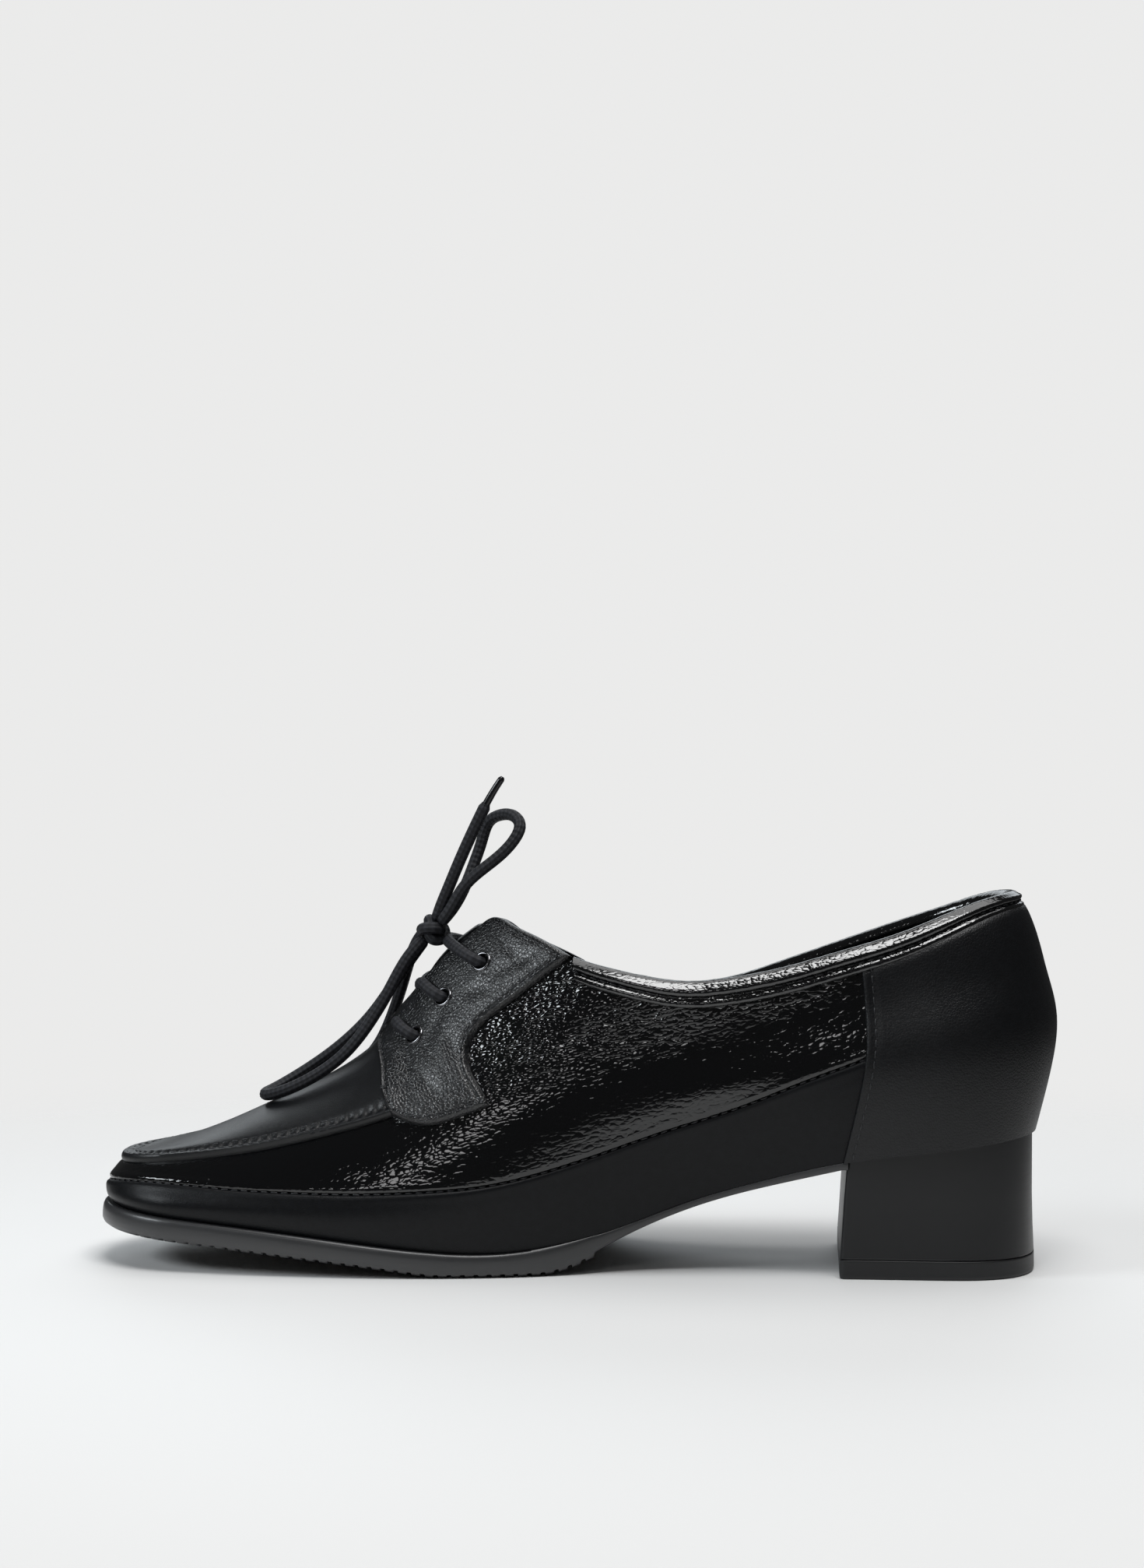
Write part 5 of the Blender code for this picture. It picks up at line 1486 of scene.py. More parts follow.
@dataclass
class Facings:
    """The two facings with their eyelets, and the tongue under the throat."""

    last: Last
    stitches: StitchRuns
    stand: float = 1.7
    hole: float = 2.0
    hole_sides: int = 24
    hole_reach: Span = (-4.0, 5.0)
    rim: float = 2.85
    rim_lift: float = 0.05
    # How far the painted-shade plug in each hole is sunk, as a share of the facing's thickness.
    shade_plug_sink: float = 0.95
    front: tuple[Place, ...] = (Place(171.5, 40.6), Place(174.2, 44.5), Place(175.4, 50.0))
    throat: tuple[Gap, ...] = table(
        Gap, (176.4, 3.0), (172, 4.2), (166, 6.0), (159, 7.2), (151.5, 7.6),
    )
    tops: dict[Side, tuple[Place, ...]] = field(default_factory=lambda: {
        Side.INNER: (Place(146.5, 90.2), Place(141.8, 89.4), Place(135.4, 86.9), Place(125.3, 82.0)),
        Side.OUTER: (Place(147.0, 88.8), Place(141.8, 86.0), Place(135.4, 82.2), Place(125.3, 76.8)),
    })
    backs: dict[Side, tuple[Place, ...]] = field(default_factory=lambda: {
        Side.INNER: (Place(131.5, 77.4), Place(143.8, 68.0), Place(149.5, 63.0), Place(152.0, 57.4),
                     Place(151.0, 52.4), Place(148.0, 48.0), Place(145.6, 44.2)),
        Side.OUTER: (Place(131.5, 73.0), Place(143.8, 65.5), Place(149.5, 61.5), Place(152.0, 56.8),
                     Place(151.0, 52.2), Place(148.0, 48.0), Place(145.6, 44.2)),
    })
    bottom: tuple[Place, ...] = (Place(163.5, 38.8), Place(155.0, 40.6))
    eyelets: tuple[Place, ...] = (Place(149.0, 79.0), Place(159.2, 69.6), Place(166.5, 59.6))
    tack: tuple[Place, Place] = (Place(173.6, 46.1), Place(167.6, 47.6))
    folds: tuple[Crease, ...] = table(
        Crease, ((159.6, 67.0), (162.6, 57.0), 2.2, 0.26), ((157.5, 62.0), (154.0, 54.0), 2.6, 0.3),
        ((165.0, 51.0), (158.5, 45.2), 2.6, 0.26), ((146.0, 76.0), (134.0, 82.6), 1.9, 0.34),
        ((152.5, 71.0), (147.0, 73.5), 2.2, 0.22), ((169.0, 56.0), (166.5, 48.5), 2.2, 0.16),
        ((143.0, 84.0), (138.0, 80.0), 2.0, 0.24),
    )
    edge_bead: Bead = Bead(0.34, 0.8, 0.5)
    edge_groove: Bead = Bead(0.3, 1.9, 0.5)
    row_inset: Span = (0.062, 0.032)
    row_steps: int = 120
    row_sink: float = 0.12
    tack_gap: float = 0.004
    front_lift: float = 0.9
    front_lap: Span = (167.0, 173.0)
    tongue_ends: Span = (147.0, 181.0)
    tongue_half: float = 0.27
    tongue_rise: float = 2.9
    tongue_swells: Span = (148.5, 153.0)
    tongue_sinks: Span = (168.5, 172.0)
    tongue_side: Span = (2.8, 6.0)
    tongue_dip: Bead = Bead(1.0, 168.0, 1.5)

    def outline(self, side: Side) -> dict[str, Array]:
        """The four edges of a facing as even runs of places."""
        front = self.last.at_heights(self.front, side)
        front += [self.last.at_gap(row, side) for row in self.throat]
        top = front[-1:] + self.last.at_heights(self.tops[side], side)
        back = self.last.at_heights(self.backs[side][::-1], side) + top[-1:]
        low = front[:1] + self.last.at_heights(self.bottom, side) + back[:1]
        runs = {"front": front, "top": top, "back": back, "low": low}
        return {name: self.even(run) for name, run in runs.items()}

    def even(self, run: Sequence[Span], count: int = 160) -> Array:
        """A smooth run of places, even by distance over the last."""
        places = np.array(run)
        along = run_length(self.last.point(*places.T))
        fine = curve(along, places, np.linspace(0, along[-1], count))
        even = run_length(self.last.point(*fine.T))
        return straight(even, fine, np.linspace(0, even[-1], count))

    def places(self, side: Side) -> Coords:
        """Fills a facing in between its four edges."""
        edges = self.outline(side)
        at = np.linspace(0, 1, len(edges["low"]))

        def read(name: str, share: Array) -> Array:
            """Places along an edge."""
            return straight(at, edges[name], share)

        def coords(u: Array, v: Array) -> Places:
            """Place in the facing, u from its front to its back and v from its foot to its top."""
            a, b = u[..., None], v[..., None]
            found = (1 - b) * read("low", u) + b * read("top", u)
            found += (1 - a) * read("front", v) + a * read("back", v)
            found -= (1 - a) * (1 - b) * edges["low"][0] + a * (1 - b) * edges["low"][-1]
            found -= (1 - a) * b * edges["top"][0] + a * b * edges["top"][-1]
            return found[..., 0], found[..., 1]
        return coords

    def hole_frame(self, row: Place, side: Side) -> tuple[Array, Array, Array, Array]:
        """Foot, two level axes and normal of an eyelet."""
        t, rise = self.last.at_height(row, side)
        normal = self.last.normal(t, rise)
        along = np.cross(normal, [0.0, 1.0, 0.0])
        along /= np.linalg.norm(along)
        return self.last.point(t, rise), along, np.cross(normal, along), normal

    def cut_holes(self, piece: Thing, side: Side) -> None:
        """Cuts the three lace holes out of a facing."""
        points, faces = [], []
        for row in self.eyelets:
            foot, along, across, normal = self.hole_frame(row, side)
            ring = foot + self.hole * circle(self.hole_sides, along, across)
            start = len(points) * self.hole_sides
            points += [ring + normal * stand for stand in self.hole_reach]
            faces += [[start + i for i in face] for face in ring_faces(2, self.hole_sides)]
        cutter = make_piece("hole_cutter", np.concatenate(points), faces, [PAINTED_HOLE_SHADE])
        cut = piece.modifiers.new("holes", "BOOLEAN")
        cut.operation = "DIFFERENCE"
        cut.object = cutter
        keep_result(piece, cut)
        smooth_faces(piece.data)
        bpy.data.objects.remove(cutter)

    def lift(self, points: Array) -> Array:
        """How far the facing's front is raised where it laps over the apron."""
        return self.front_lift * smooth_step(self.last.half_length - points[..., 0], *self.front_lap)

    def edge_rows(self, side: Side, coords: Coords) -> None:
        """A row of stitches inside the facing's edges, and the tack at its front."""
        run, whole = np.linspace(0, 1, self.row_steps), np.ones(self.row_steps)
        walks = (np.concatenate([0 * whole, run, whole, 1 - run]),
                 np.concatenate([run, whole, 1 - run, 0 * whole]))
        t, rise = coords(*[inset + (1 - 2 * inset) * walk for inset, walk in zip(self.row_inset, walks)])
        self.stitches.add(t, rise, self.stand - self.row_sink + self.lift(self.last.point(t, rise)))
        first, last = np.array(self.last.at_heights(self.tack, side))
        path = first + (last - first) * np.linspace(0, 1, 12)[:, None]
        raised = self.stand + self.lift(self.last.point(*path.T))
        for shift in (-self.tack_gap, self.tack_gap):
            self.stitches.add(path[:, 0], path[:, 1] + shift, raised)

    def build_facing(self, side: Side) -> Thing:
        """One facing with rolled edges, a stitched border, soft folds and three holes."""
        coords = self.places(side)
        folds = creased(self.last, self.folds)

        def relief(grid: Grid) -> Array:
            """The folds, the lap over the apron and the border drawn down by its stitches."""
            away = np.minimum(np.minimum(grid.start, grid.end), np.minimum(grid.low, grid.high))
            border = self.edge_bead.over(away) - self.edge_groove.over(away)
            return folds(grid) + self.lift(grid.points) + border

        plate = Plate(self.last, along=70, up=110, base=0.0, thick=self.stand, roll=1.1, rolled=ALL_ROUND)
        piece = plate.build(f"facing_{side.name.lower()}_cover", coords, PEBBLED, relief)
        self.cut_holes(piece, side)
        self.edge_rows(side, coords)
        return piece

    def eyelet_tree(self) -> Tree:
        """A node tree that sets a rolled steel ring at each hole, with a near-black plug sunk in the hole as
        painted shade.
        """
        tree = new_tree("eyelet_rings", ("Ring", "Wire", "Stand"))
        graph = Graph(tree)
        given = graph.node("NodeGroupInput").outputs
        normal = graph.leather_normal()
        turn = graph.node("FunctionNodeAlignRotationToVector", {"axis": "Z"}, {"Vector": normal})
        round_lines = [graph.node("GeometryNodeCurvePrimitiveCircle", inputs={
            "Resolution": count, "Radius": given[name]}) for name, count in (("Ring", 40), ("Wire", 12))]
        ring = graph.node("GeometryNodeCurveToMesh", inputs=dict(enumerate(round_lines)))
        # A near-black plug in each hole, painted shade where the hole is dark.
        shade_plug = graph.node("GeometryNodeMeshCylinder", inputs={
            "Vertices": 32, "Radius": given["Ring"], "Depth": given["Stand"]})
        low = graph.math("MULTIPLY", given["Stand"], -self.shade_plug_sink)
        drop = graph.node("ShaderNodeCombineXYZ", inputs={2: low})
        sunk = graph.node("GeometryNodeTransform", inputs={0: shade_plug, "Translation": drop})
        marked = graph.node("GeometryNodeStoreNamedAttribute", {"data_type": "BOOLEAN", "domain": "FACE"},
                            {0: sunk, "Name": "shade_plug", "Value": True})
        both = graph.node("GeometryNodeJoinGeometry", inputs={0: ring})
        graph.feed(both.inputs[0], marked)
        placed = graph.node("GeometryNodeInstanceOnPoints", inputs={
            "Points": given["Geometry"], "Instance": both, "Rotation": turn})
        steel = graph.joined(placed, STEEL)
        # The plug takes the near-black finish: painted shade in the hole.
        in_shade_plug = graph.node("GeometryNodeInputNamedAttribute", {"data_type": "BOOLEAN"}, {"Name": "shade_plug"})
        shade = graph.node("GeometryNodeSetMaterial", inputs={
            0: steel, "Selection": in_shade_plug, "Material": PAINTED_HOLE_SHADE.material()})
        graph.node("NodeGroupOutput", inputs={0: shade})
        return tree

    def build_eyelets(self) -> Thing:
        """All six eyelets."""
        frames = [self.hole_frame(row, side) for side in Side for row in self.eyelets]
        normals = np.array([frame[-1] for frame in frames])
        points = np.array([frame[0] for frame in frames]) + normals * (self.stand + self.rim_lift)
        return from_nodes(with_normals("eyelet_rings", points, normals), self.eyelet_tree(), {
            "Ring": (self.hole + self.rim) / 2 * MM, "Wire": (self.rim - self.hole) / 2 * MM,
            "Stand": self.stand * MM})

    def tongue_swell(self, grid: Grid) -> Array:
        """How far the tongue swells up between the facings, with a dip under the second bar."""
        station = self.last.half_length - grid.points[..., 0]
        aside = np.abs(grid.points[..., 1] - self.last.middle(station))
        swell = smooth_step(station, *self.tongue_swells) * (1 - smooth_step(station, *self.tongue_sinks))
        swell *= 1 - self.tongue_dip.over(station)
        return self.tongue_rise * swell * (1 - smooth_step(aside, *self.tongue_side))

    def build_tongue(self) -> Thing:
        """The tongue, a strip under the throat."""
        first, last = [self.last.ridge_t(end) for end in self.tongue_ends]

        def coords(u: Array, v: Array) -> Places:
            """Place on the tongue."""
            return first + (last - first) * v, (2 * u - 1) * self.tongue_half

        plate = Plate(self.last, along=40, up=60, base=-4.8, thick=1.8, roll=0.9, rolled=ALL_ROUND)
        return plate.build("tongue_strip", coords, SMOOTH, self.tongue_swell)

    def build(self) -> None:
        """Builds the facings, eyelets and tongue."""
        for side in Side:
            word = side.name.lower()
            settle(self.build_facing(side), "grained_leather", f"facing_{word}")
        names = [f"eyelet_{side.name.lower()}_{number}" for side in Side for number in (1, 2, 3)]
        settle(self.build_eyelets(), "eyelet_metal", *names)
        settle(self.build_tongue(), "smooth_leather", "tongue")


class SoleRow(NamedTuple):
    """The sole's underside and how far its rim stands out, at a station."""

    station: float
    underside: float
    rim: float


class RimRow(NamedTuple):
    """A line of the sole's side: share of the rim, set-in, share of the height, reach at the toe."""

    rim: float
    inset: float
    height: float
    reach: float


class HeelRow(NamedTuple):
    """An outline of the heel: height, stations of back and breast, half widths, and its seat."""

    height: float
    back: float
    breast: float
    inner: float
    outer: float
    seat: bool = False


@dataclass
class Bottom:
    """Outsole, heel block, top lift and insole."""

    last: Last
    gap: float = 0.3
    start: float = 53.8
    end: float = 250.0
    tread_start: float = 119.0
    tread_flat: float = 137.0
    tread_end: float = 240.0
    tread_step: float = 1.0
    rib_pitch: float = 3.4
    rib_land: float = 2.0
    rib_slope: float = 0.25
    rib_depth: float = 0.9
    sole: tuple[SoleRow, ...] = table(
        SoleRow, (55, 28.0, 0.2), (72, 23.6, 0.2), (88, 19.0, 0.2), (104, 13.0, 0.3), (116, 7.2, 0.4),
        (124, 2.9, 0.8), (131, 0.6, 1.2), (137, -0.1, 1.4), (159, -0.1, 1.6), (174, 1.9, 1.8),
        (192, 4.0, 1.8), (208, 5.7, 1.8), (225, 7.3, 1.8), (240, 8.5, 1.8), (252, 9.4, 1.8),
    )
    rim: tuple[RimRow, ...] = table(
        RimRow, (-1.2, 0.0, 1.0, 0.4), (0.4, 0.0, 1.1, 1.3), (0.76, 0.0, 1.05, 1.75),
        (0.95, 0.0, 0.92, 2.1), (1.02, 0.0, 0.74, 2.3), (1.03, 0.0, 0.53, 2.4), (1.0, 0.0, 0.34, 2.4),
        (0.85, 0.0, 0.18, 2.0), (0.5, 0.2, 0.06, 1.1), (0.0, 0.8, 0.0, 0.0),
    )
    block: tuple[HeelRow, ...] = table(
        HeelRow, (5.05, 5.05, 55.7, 25.45, 26.45), (5.25, 4.9, 55.85, 25.65, 26.65),
        (5.5, 4.91, 55.83, 25.63, 26.63), (12.0, 5.2, 55.4, 25.2, 26.2), (20.0, 5.4, 54.9, 25.0, 26.0),
        (29.9, 5.4, 54.1, 25.2, 26.4, True),
    )
    lift: tuple[HeelRow, ...] = table(
        HeelRow, (0.0, 5.2, 55.6, 25.4, 26.4), (0.3, 4.9, 55.85, 25.65, 26.65),
        (0.8, 4.8, 55.95, 25.75, 26.75), (1.1, 4.8, 55.95, 25.75, 26.75), (4.5, 4.85, 55.9, 25.7, 26.7),
        (4.75, 4.85, 55.9, 25.7, 26.7), (4.95, 5.0, 55.75, 25.5, 26.5),
    )
    heel_round: float = 26.0
    heel_power: float = 2.7
    heel_least: float = 0.004
    corner: float = 1.2
    reach_power: float = 6
    insole_inset: float = 2.6
    insole_thick: float = 2.5
    insole_lift: float = 0.1
    insole_power: float = 14
    insole_ends: Span = (0.012, 0.988)
    toe_share: float = 0.985

    def underside(self, station: float, groove: bool) -> float:
        """Height of the sole's underside, with the tread's step and the depth of a groove."""
        height = max(float(column(self.sole, "underside", station)), 0.0)
        if station > self.tread_start:
            rise = (self.tread_flat - station) / (self.tread_flat - self.tread_start)
            height = max(height - self.tread_step * min(max(rise, 0.0), 1.0), 0.0)
        return height + (self.rib_depth if groove else 0.0)

    def stations(self) -> list[tuple[float, bool]]:
        """Stations along the sole, with a mark for those in a groove between two ribs."""
        places = [(each, False) for each in np.linspace(self.start, self.tread_start, 40)]
        start = self.tread_start + self.rib_slope
        while start + self.rib_pitch < self.tread_end:
            groove = start + self.rib_land
            places += [(start, False), (groove, False), (groove + self.rib_slope, True)]
            places += [(start + self.rib_pitch - self.rib_slope, True)]
            start += self.rib_pitch
        shares = 1 - (1 - np.linspace(0, self.toe_share, 22)) ** 2
        return places + [(start + (self.end - start) * share, False) for share in shares]

    def sole_ring(self, station: float, groove: bool) -> Array:
        """Section of the sole, from the inner top edge under to the outer top edge."""
        low = self.underside(station, groove)
        land = self.underside(station, False)
        along = (station - self.start) / (self.end - self.start)
        sides: dict[Side, list] = {side: [] for side in Side}
        for row in self.rim:
            here = station + row.reach * along ** self.reach_power
            top = float(column(FEATHER.rows, "height", here)) - self.gap
            base = max(low, land + row.height * (top - land))
            edge = FEATHER._replace(last=self.end + row.reach)
            out = row.rim * float(column(self.sole, "rim", here)) - row.inset
            fade = float(end_round(edge.last - here, edge.toe_round, edge.toe_power))
            for side in Side:
                wide = float(self.last.half_width(edge, here, side)) + out * fade
                across = float(self.last.middle(here)) + side.value * wide
                sides[side].append([self.last.half_length - here, across, base])
        return np.array(sides[Side.INNER] + sides[Side.OUTER][::-1])

    def build_outsole(self) -> Thing:
        """The sole with its rounded rim and cross ribs, and a thin waist."""
        rings = [self.sole_ring(*place) for place in self.stations()]
        return make_rings("ribbed_outsole", rings, RUBBER, strips=True)

    def heel_ring(self, row: HeelRow) -> Array:
        """A D-shaped outline of the heel with eased corners at its breast."""
        share = np.linspace(1, 0, 60)
        station = row.back + (row.breast - row.back) * (1 - np.cos(math.pi / 2 * share))
        eased = row.breast - self.corner * (1 - np.cos(np.linspace(0, math.pi / 2, 6)))
        station = np.concatenate([eased[:-1], station[station < eased[-1]]])
        fade = np.maximum(end_round(station - row.back, self.heel_round, self.heel_power), self.heel_least)
        left = 1 - np.clip((row.breast - station) / self.corner, 0, 1)
        ease = self.corner * (1 - np.sqrt(1 - left ** 2))
        seat = column(FEATHER.rows, "height", station) - self.gap
        height = seat if row.seat else np.full_like(station, row.height)
        sides = []
        for side, wide in ((Side.INNER, row.inner), (Side.OUTER, row.outer)):
            across = self.last.middle(station) + side.value * (wide * fade - ease)
            sides.append(np.stack([self.last.half_length - station, across, height], -1))
        return np.concatenate([sides[0], sides[1][::-1]])

    def build_heel(self, name: str, rows: Sequence[HeelRow], finish: Finish) -> Thing:
        """A piece of the heel through its outlines, closed by strips from side to side."""
        rings = [self.heel_ring(row) for row in rows]
        count = min(len(ring) for ring in rings)
        rings = [np.concatenate([ring[:count // 2], ring[-(count // 2):]]) for ring in rings]
        return make_rings(name, rings, finish, strips=True)

    def build_insole(self) -> Thing:
        """A padded sheet on the sole, a little cupped at its edges."""
        inset = self.insole_inset
        rows = tuple(row._replace(inner=row.inner - inset, outer=row.outer - inset) for row in FEATHER.rows)
        line = FEATHER._replace(first=FEATHER.first + inset, last=FEATHER.last - inset, rows=rows)
        across = np.sin(np.linspace(-math.pi / 2, math.pi / 2, 25))
        rings = []
        for share in np.linspace(*self.insole_ends, 140):
            station = line.station(share)
            low = float(column(FEATHER.rows, "height", station)) + self.insole_lift
            middle = self.last.middle(station)
            sides = [float(middle + side.value * self.last.half_width(line, station, side)) for side in Side]
            y = (sides[0] + sides[1]) / 2 + across * (sides[1] - sides[0]) / 2
            top = low + self.insole_thick * (1 - np.abs(across) ** self.insole_power) ** 0.5
            x = np.full_like(y, self.last.half_length - station)
            rings.append(np.concatenate([np.stack([x, y, top], -1),
                                         np.stack([x, y, np.full_like(y, low)], -1)[-2:0:-1]]))
        return make_rings("insole_sheet", rings, LINING)

    def build(self) -> None:
        """Builds the sole, the heel and the insole."""
        settle(self.build_outsole(), "sole_rubber", "outsole")
        settle(self.build_heel("heel_covered", self.block, HEEL_PAINT), "heel_plastic", "heel_block")
        settle(self.build_heel("heel_lift", self.lift, LIFT_RUBBER), "sole_rubber", "heel_top_lift")
        settle(self.build_insole(), "insole_leather", "insole")


class Bar(NamedTuple):
    """A bar of the lace: where it dips over the throat's edge, and its middle over the ridge."""

    dip: Place
    middle: float
    stand: float


@dataclass
class Lace:
    """The round lace: three bars through the eyelets, the knot, two loops and two ends."""

    last: Last
    facings: Facings
    thick: float = 3.2
    aglet_thick: float = 2.1
    sides: int = 14
    bars: tuple[Bar, ...] = (
        Bar(Place(157.0, 83.0), 159.4, 1.8),
        Bar(Place(166.0, 73.5), 168.0, -0.5),
        Bar(Place(172.6, 63.1), 174.0, -0.5),
    )
    # Shares of the way from an eyelet to the dip, with heights off the last.
    bar_path: tuple[Span, ...] = ((0.0, -2.6), (0.0, -0.8), (0.2, 1.6), (0.55, 3.2), (1.0, 3.2))
    knot_place: Route = Route(164.2, -3.0, 87.0)
    knot_size: float = 2.25
    knot_wave: float = 0.95
    knot_wide: float = 1.25
    knot_deep: float = 1.7
    knot_lean: float = math.radians(35)
    knot_thick: float = 0.98
    end_share: float = 0.72
    end_reach: float = 0.4
    aglet_taper: float = 0.12
    aglet_tip: Span = (0.93, 1.0)
    aglet_round: float = 0.5
    loop_up: tuple[Route, ...] = table(
        Route, (161.8, -6.3, 89.4), (159.7, -6.9, 92.2), (155.4, -7.0, 99.1), (148.8, -6.4, 105.0),
        (142.7, -4.6, 110.9), (141.0, -2.2, 115.1), (143.3, 1.4, 117.7), (147.0, 4.6, 117.7),
        (150.2, 7.0, 115.9), (152.3, 7.6, 110.7), (154.5, 6.4, 104.0), (156.6, 4.0, 98.2),
        (159.8, 1.2, 92.2), (163.3, -1.3, 88.0),
    )
    end_up: tuple[Route, ...] = table(
        Route, (163.4, -4.2, 89.6), (162.2, -4.8, 93.0), (160.0, -5.8, 98.2), (157.6, -7.0, 103.7),
        (153.1, -8.4, 113.5), (149.3, -9.4, 121.2),
    )
    aglet_up: tuple[Route, ...] = table(
        Route, (149.7, -9.3, 120.4), (147.0, -9.8, 125.0), (144.8, -10.0, 128.3),
    )
    loop_front: tuple[Route, ...] = table(
        Route, (166.6, -1.4, 84.6), (169.6, -0.4, 80.6), (174.9, 0.8, 73.2), (181.2, 1.8, 64.4),
        (189.2, 2.8, 56.3), (197.5, 4.2, 50.0), (203.6, 3.7, 46.1), (208.1, 1.0, 43.6),
        (209.8, -3.3, 42.8), (208.0, -7.6, 43.0), (203.4, -10.3, 44.5), (195.4, -10.4, 48.4),
        (187.6, -9.2, 54.2), (180.2, -7.6, 63.6), (175.6, -6.8, 71.4), (170.6, -5.8, 80.2),
        (166.8, -4.8, 84.8),
    )
    end_far: tuple[Route, ...] = table(
        Route, (164.9, -0.4, 87.3), (166.2, 2.0, 86.9), (168.6, 5.0, 85.0), (173.6, 10.0, 74.0),
        (178.6, 17.0, 61.2), (185.0, 22.5, 50.6), (195.0, 24.0, 43.2), (205.0, 23.0, 38.8),
    )
    aglet_far: tuple[Route, ...] = table(
        Route, (204.2, 23.1, 39.1), (210.0, 21.9, 37.3), (214.4, 20.8, 35.9),
    )

    def points(self, rows: Sequence[Route]) -> Array:
        """Route rows as points."""
        return np.array([(self.last.half_length - row.station, row.side, row.height) for row in rows])

    def tube(self, name: str, path: Array, radii: Array, finish: Finish) -> Thing:
        """A tube with a UV map that gives millimetres along it and turns round it.

        Args:
            name: The piece's name.
            path: Its centreline, in millimetres.
            radii: Its radius at each point of the path.
            finish: Its finish.

        Returns:
            The piece.
        """
        ahead = np.gradient(path, axis=0)
        ahead /= np.linalg.norm(ahead, axis=1, keepdims=True)
        aside = np.cross(ahead[0], TUBE_START)
        rings = []
        for point, way, radius in zip(path, ahead, radii):
            aside = aside - way * (aside @ way)
            aside /= np.linalg.norm(aside)
            rings.append(point + radius * circle(self.sides, aside, np.cross(way, aside)))
        thing = make_rings(name, rings, finish)
        self.unwrap(thing.data, run_length(path))
        return thing

    def unwrap(self, mesh: bpy.types.Mesh, run: Array) -> None:
        """Writes the braid's UV map from the order of a tube's points."""
        layer = mesh.uv_layers.new(name=BRAID)
        for face in mesh.polygons:
            around = [mesh.loops[i].vertex_index % self.sides for i in face.loop_indices]
            wraps = max(around) - min(around) > self.sides / 2
            for i, turn in zip(face.loop_indices, around):
                ring = mesh.loops[i].vertex_index // self.sides
                turns = turn + self.sides if wraps and turn < self.sides / 2 else turn
                layer.data[i].uv = (run[min(ring, len(run) - 1)], turns / self.sides)

    def rounded(self, path: Array, thick: float) -> Array:
        """Radii of a tube whose two ends are a little rounded off."""
        run = run_length(path)
        inside = np.minimum(run, run[-1] - run)
        grown = smooth_step(inside, 0.0, thick * self.end_reach)
        return thick / 2 * (self.end_share + (1 - self.end_share) * grown)

    def cord(self, name: str, rows: Sequence[Route], node: str) -> Thing:
        """A free stretch of the lace.

        Args:
            name: The piece's name.
            rows: Its route, from where it leaves the knot.
            node: The node that it stands for.

        Returns:
            The piece.
        """
        path = smooth_run(self.points(rows), 90)
        thing = self.tube(name, path, self.rounded(path, self.thick), CORD)
        settle(thing, "lace_cord", node)
        return thing

    def aglet(self, name: str, rows: Sequence[Route], node: str) -> Thing:
        """The wrapped tip of an end."""
        path = smooth_run(self.points(rows), 24)
        share = np.linspace(0, 1, len(path))
        tip = 1 - self.aglet_round * smooth_step(share, *self.aglet_tip)
        radii = self.aglet_thick / 2 * (1 - self.aglet_taper * share) * tip
        return settle(self.tube(name, path, radii, AGLET), "aglet_plastic", node)

    def build_bar(self, number: int) -> None:
        """One bar, up through an eyelet, over the throat and down through the other."""
        row = self.bars[number - 1]
        hole = np.array(self.facings.eyelets[number - 1])
        steps = [(Place(*(hole + (row.dip - hole) * share)), stand) for share, stand in self.bar_path]
        halves = [np.array([self.last.shown(place, side, stand) for place, stand in steps]) for side in Side]
        top = self.last.skin(np.array([self.last.ridge_t(row.middle)]), np.zeros(1), np.array([row.stand]))
        path = smooth_run(np.concatenate([halves[0], top, halves[1][::-1]]), 70)
        thing = self.tube(f"bar_{number}", path, np.full(len(path), self.thick / 2), CORD)
        settle(thing, "lace_cord", f"lace_bar_{number}")

    def build_knot(self) -> Thing:
        """The knot, a cord wound into a trefoil."""
        turn = np.linspace(0, 2 * math.pi, 121)
        out = self.knot_size + self.knot_wave * np.cos(3 * turn)
        wound = np.stack([out * np.cos(2 * turn), out * np.sin(2 * turn) * self.knot_wide,
                          self.knot_deep * np.sin(3 * turn)], -1)
        lean = np.array(Matrix.Rotation(self.knot_lean, 3, "Y"))
        path = wound @ lean.T + self.points([self.knot_place])[0]
        thing = self.tube("bow_knot", path, np.full(len(path), self.thick / 2 * self.knot_thick), CORD)
        return settle(thing, "lace_cord", "lace_knot")

    def build(self) -> None:
        """Builds the whole lace."""
        for number in (1, 2, 3):
            self.build_bar(number)
        knot = self.build_knot()
        tips = [self.aglet("end_up_aglet", self.aglet_up, "aglet_up"),
                self.aglet("end_far_aglet", self.aglet_far, "aglet_far")]
        self.cord("bow_loop_up", self.loop_up, "lace_loop_up")
        self.cord("bow_loop_front", self.loop_front, "lace_loop_front")
        self.cord("bow_end_up", self.end_up, "lace_end_up")
        self.cord("bow_end_far", self.end_far, "lace_end_far")


class Light(NamedTuple):
    """A soft panel of light: place and target in metres, its two sides, power and colour."""

    name: str
    place: Triple
    target: Triple
    wide: float
    deep: float
    power: float
    colour: Colour = (1.0, 1.0, 1.0)


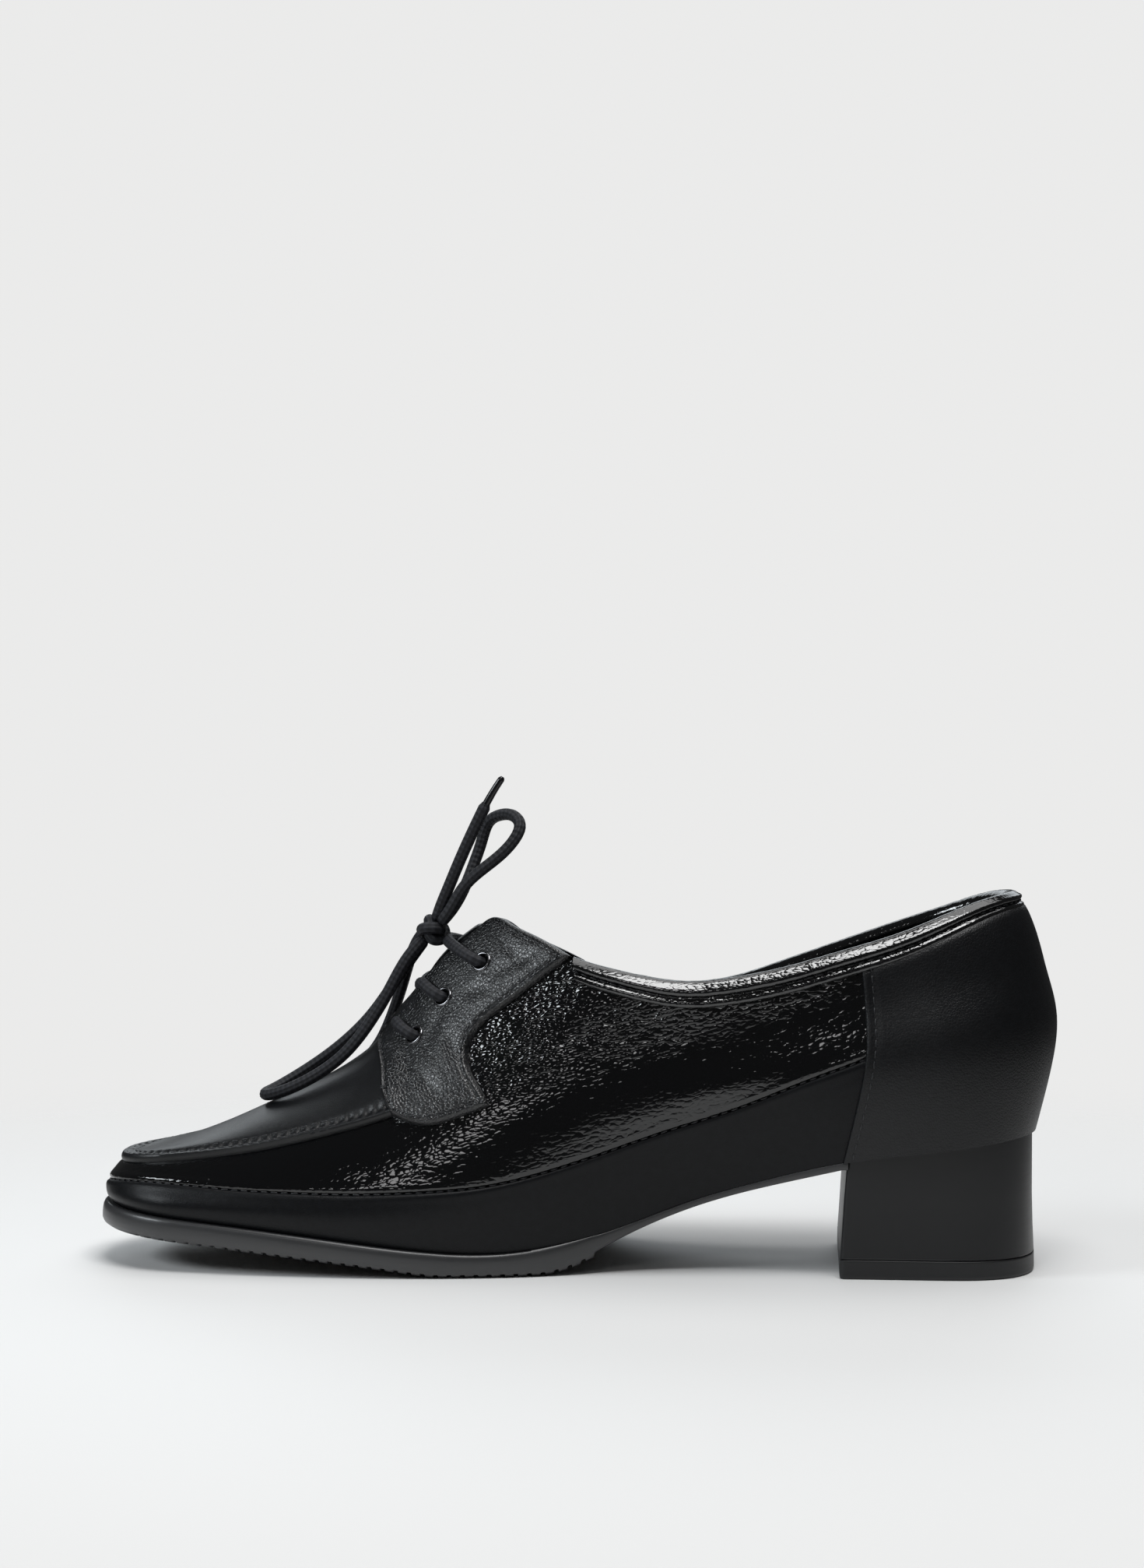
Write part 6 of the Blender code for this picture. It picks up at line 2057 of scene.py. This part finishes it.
@dataclass
class Studio:
    """Pale floor, pale surround, soft lights and the photograph's camera."""

    lens: float = 67.33
    sensor: float = 36.0
    eye: Triple = (0.06009, -0.78258, 0.145)
    turn: float = math.radians(4.5)
    pitch: float = math.radians(1.37)
    surround: float = 0.83
    ambient: float = 0.05
    floor_size: float = 2.4
    floor_sides: int = 96
    lights: tuple[Light, ...] = (
        Light("key", (0.16, -0.36, 1.3), (0.0, 0.0, 0.05), 0.7, 0.5, 10.0),
        Light("toe_side", (-0.92, -0.4, 0.6), (0.0, 0.0, 0.06), 0.42, 0.28, 4.4, COOL),
        Light("front", (-0.25, -1.1, 0.74), (0.0, 0.0, 0.06), 0.3, 0.2, 0.7),
        Light("top_fill", (0.3, 0.5, 2.0), (0.05, 0.05, 0.0), 1.6, 1.4, 13.0),
        Light("back", (-0.1, 1.4, 0.8), (0.0, 0.0, 0.05), 1.6, 0.8, 6.0, COOL),
    )

    def build_floor(self) -> None:
        """A flat round floor."""
        rim = circle(self.floor_sides, np.array([1, 0, 0]), np.array([0, 1, 0])) * self.floor_size / MM
        floor = make_piece("floor", rim, [list(range(len(rim)))], [PALE_FLOOR], outward=False)

    def build_world(self) -> None:
        """A pale surround that lights the shoe only dimly."""
        world = bpy.data.worlds.new("studio")
        bpy.context.scene.world = world
        world.use_nodes = True
        graph = Graph(world.node_tree)
        world.node_tree.nodes.clear()
        seen = graph.node("ShaderNodeLightPath").outputs["Is Camera Ray"]
        dim = graph.node("ShaderNodeBackground", inputs={"Color": WHITE, "Strength": self.ambient})
        pale = graph.node("ShaderNodeBackground", inputs={"Color": WARM_WHITE, "Strength": self.surround})
        mixed = graph.node("ShaderNodeMixShader", inputs={0: seen, 1: dim, 2: pale})
        graph.node("ShaderNodeOutputWorld", inputs={0: mixed})

    def build_lights(self) -> None:
        """The soft panels."""
        for row in self.lights:
            lamp = bpy.data.lights.new(row.name, "AREA")
            lamp.shape = "RECTANGLE"
            lamp.size = row.wide
            lamp.size_y = row.deep
            lamp.energy = row.power
            lamp.color = row.colour
            thing = add_object(row.name, lamp)
            thing.location = row.place
            way = Vector(row.target) - Vector(row.place)
            thing.rotation_euler = way.to_track_quat("-Z", "Y").to_euler()

    def build_camera(self) -> None:
        """The camera at the photograph's angle."""
        camera = bpy.data.cameras.new("camera")
        camera.lens = self.lens
        camera.sensor_width = self.sensor
        thing = add_object("camera", camera)
        thing.location = self.eye
        thing.rotation_euler = (math.pi / 2 - self.pitch, 0.0, self.turn)
        bpy.context.scene.camera = thing

    def build(self) -> None:
        """Builds the studio, with the plain view transform that a photograph's blacks need."""
        bpy.context.scene.view_settings.view_transform = "Standard"
        self.build_floor()
        self.build_world()
        self.build_lights()
        self.build_camera()


def main() -> None:
    """Builds the studio and every piece of the shoe in order."""
    logging.basicConfig(level=logging.INFO, format="%(name)s %(message)s")
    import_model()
    last = Last()
    stitches = StitchRuns(last)
    Studio().build()
    facings = Facings(last, stitches)
    Lace(last, facings).build()
    Upper(last, stitches).build()
    facings.build()
    Bottom(last).build()
    settle(stitches.build("stitch_rows"), "lace_cord")


if __name__ == "__main__":
    main()
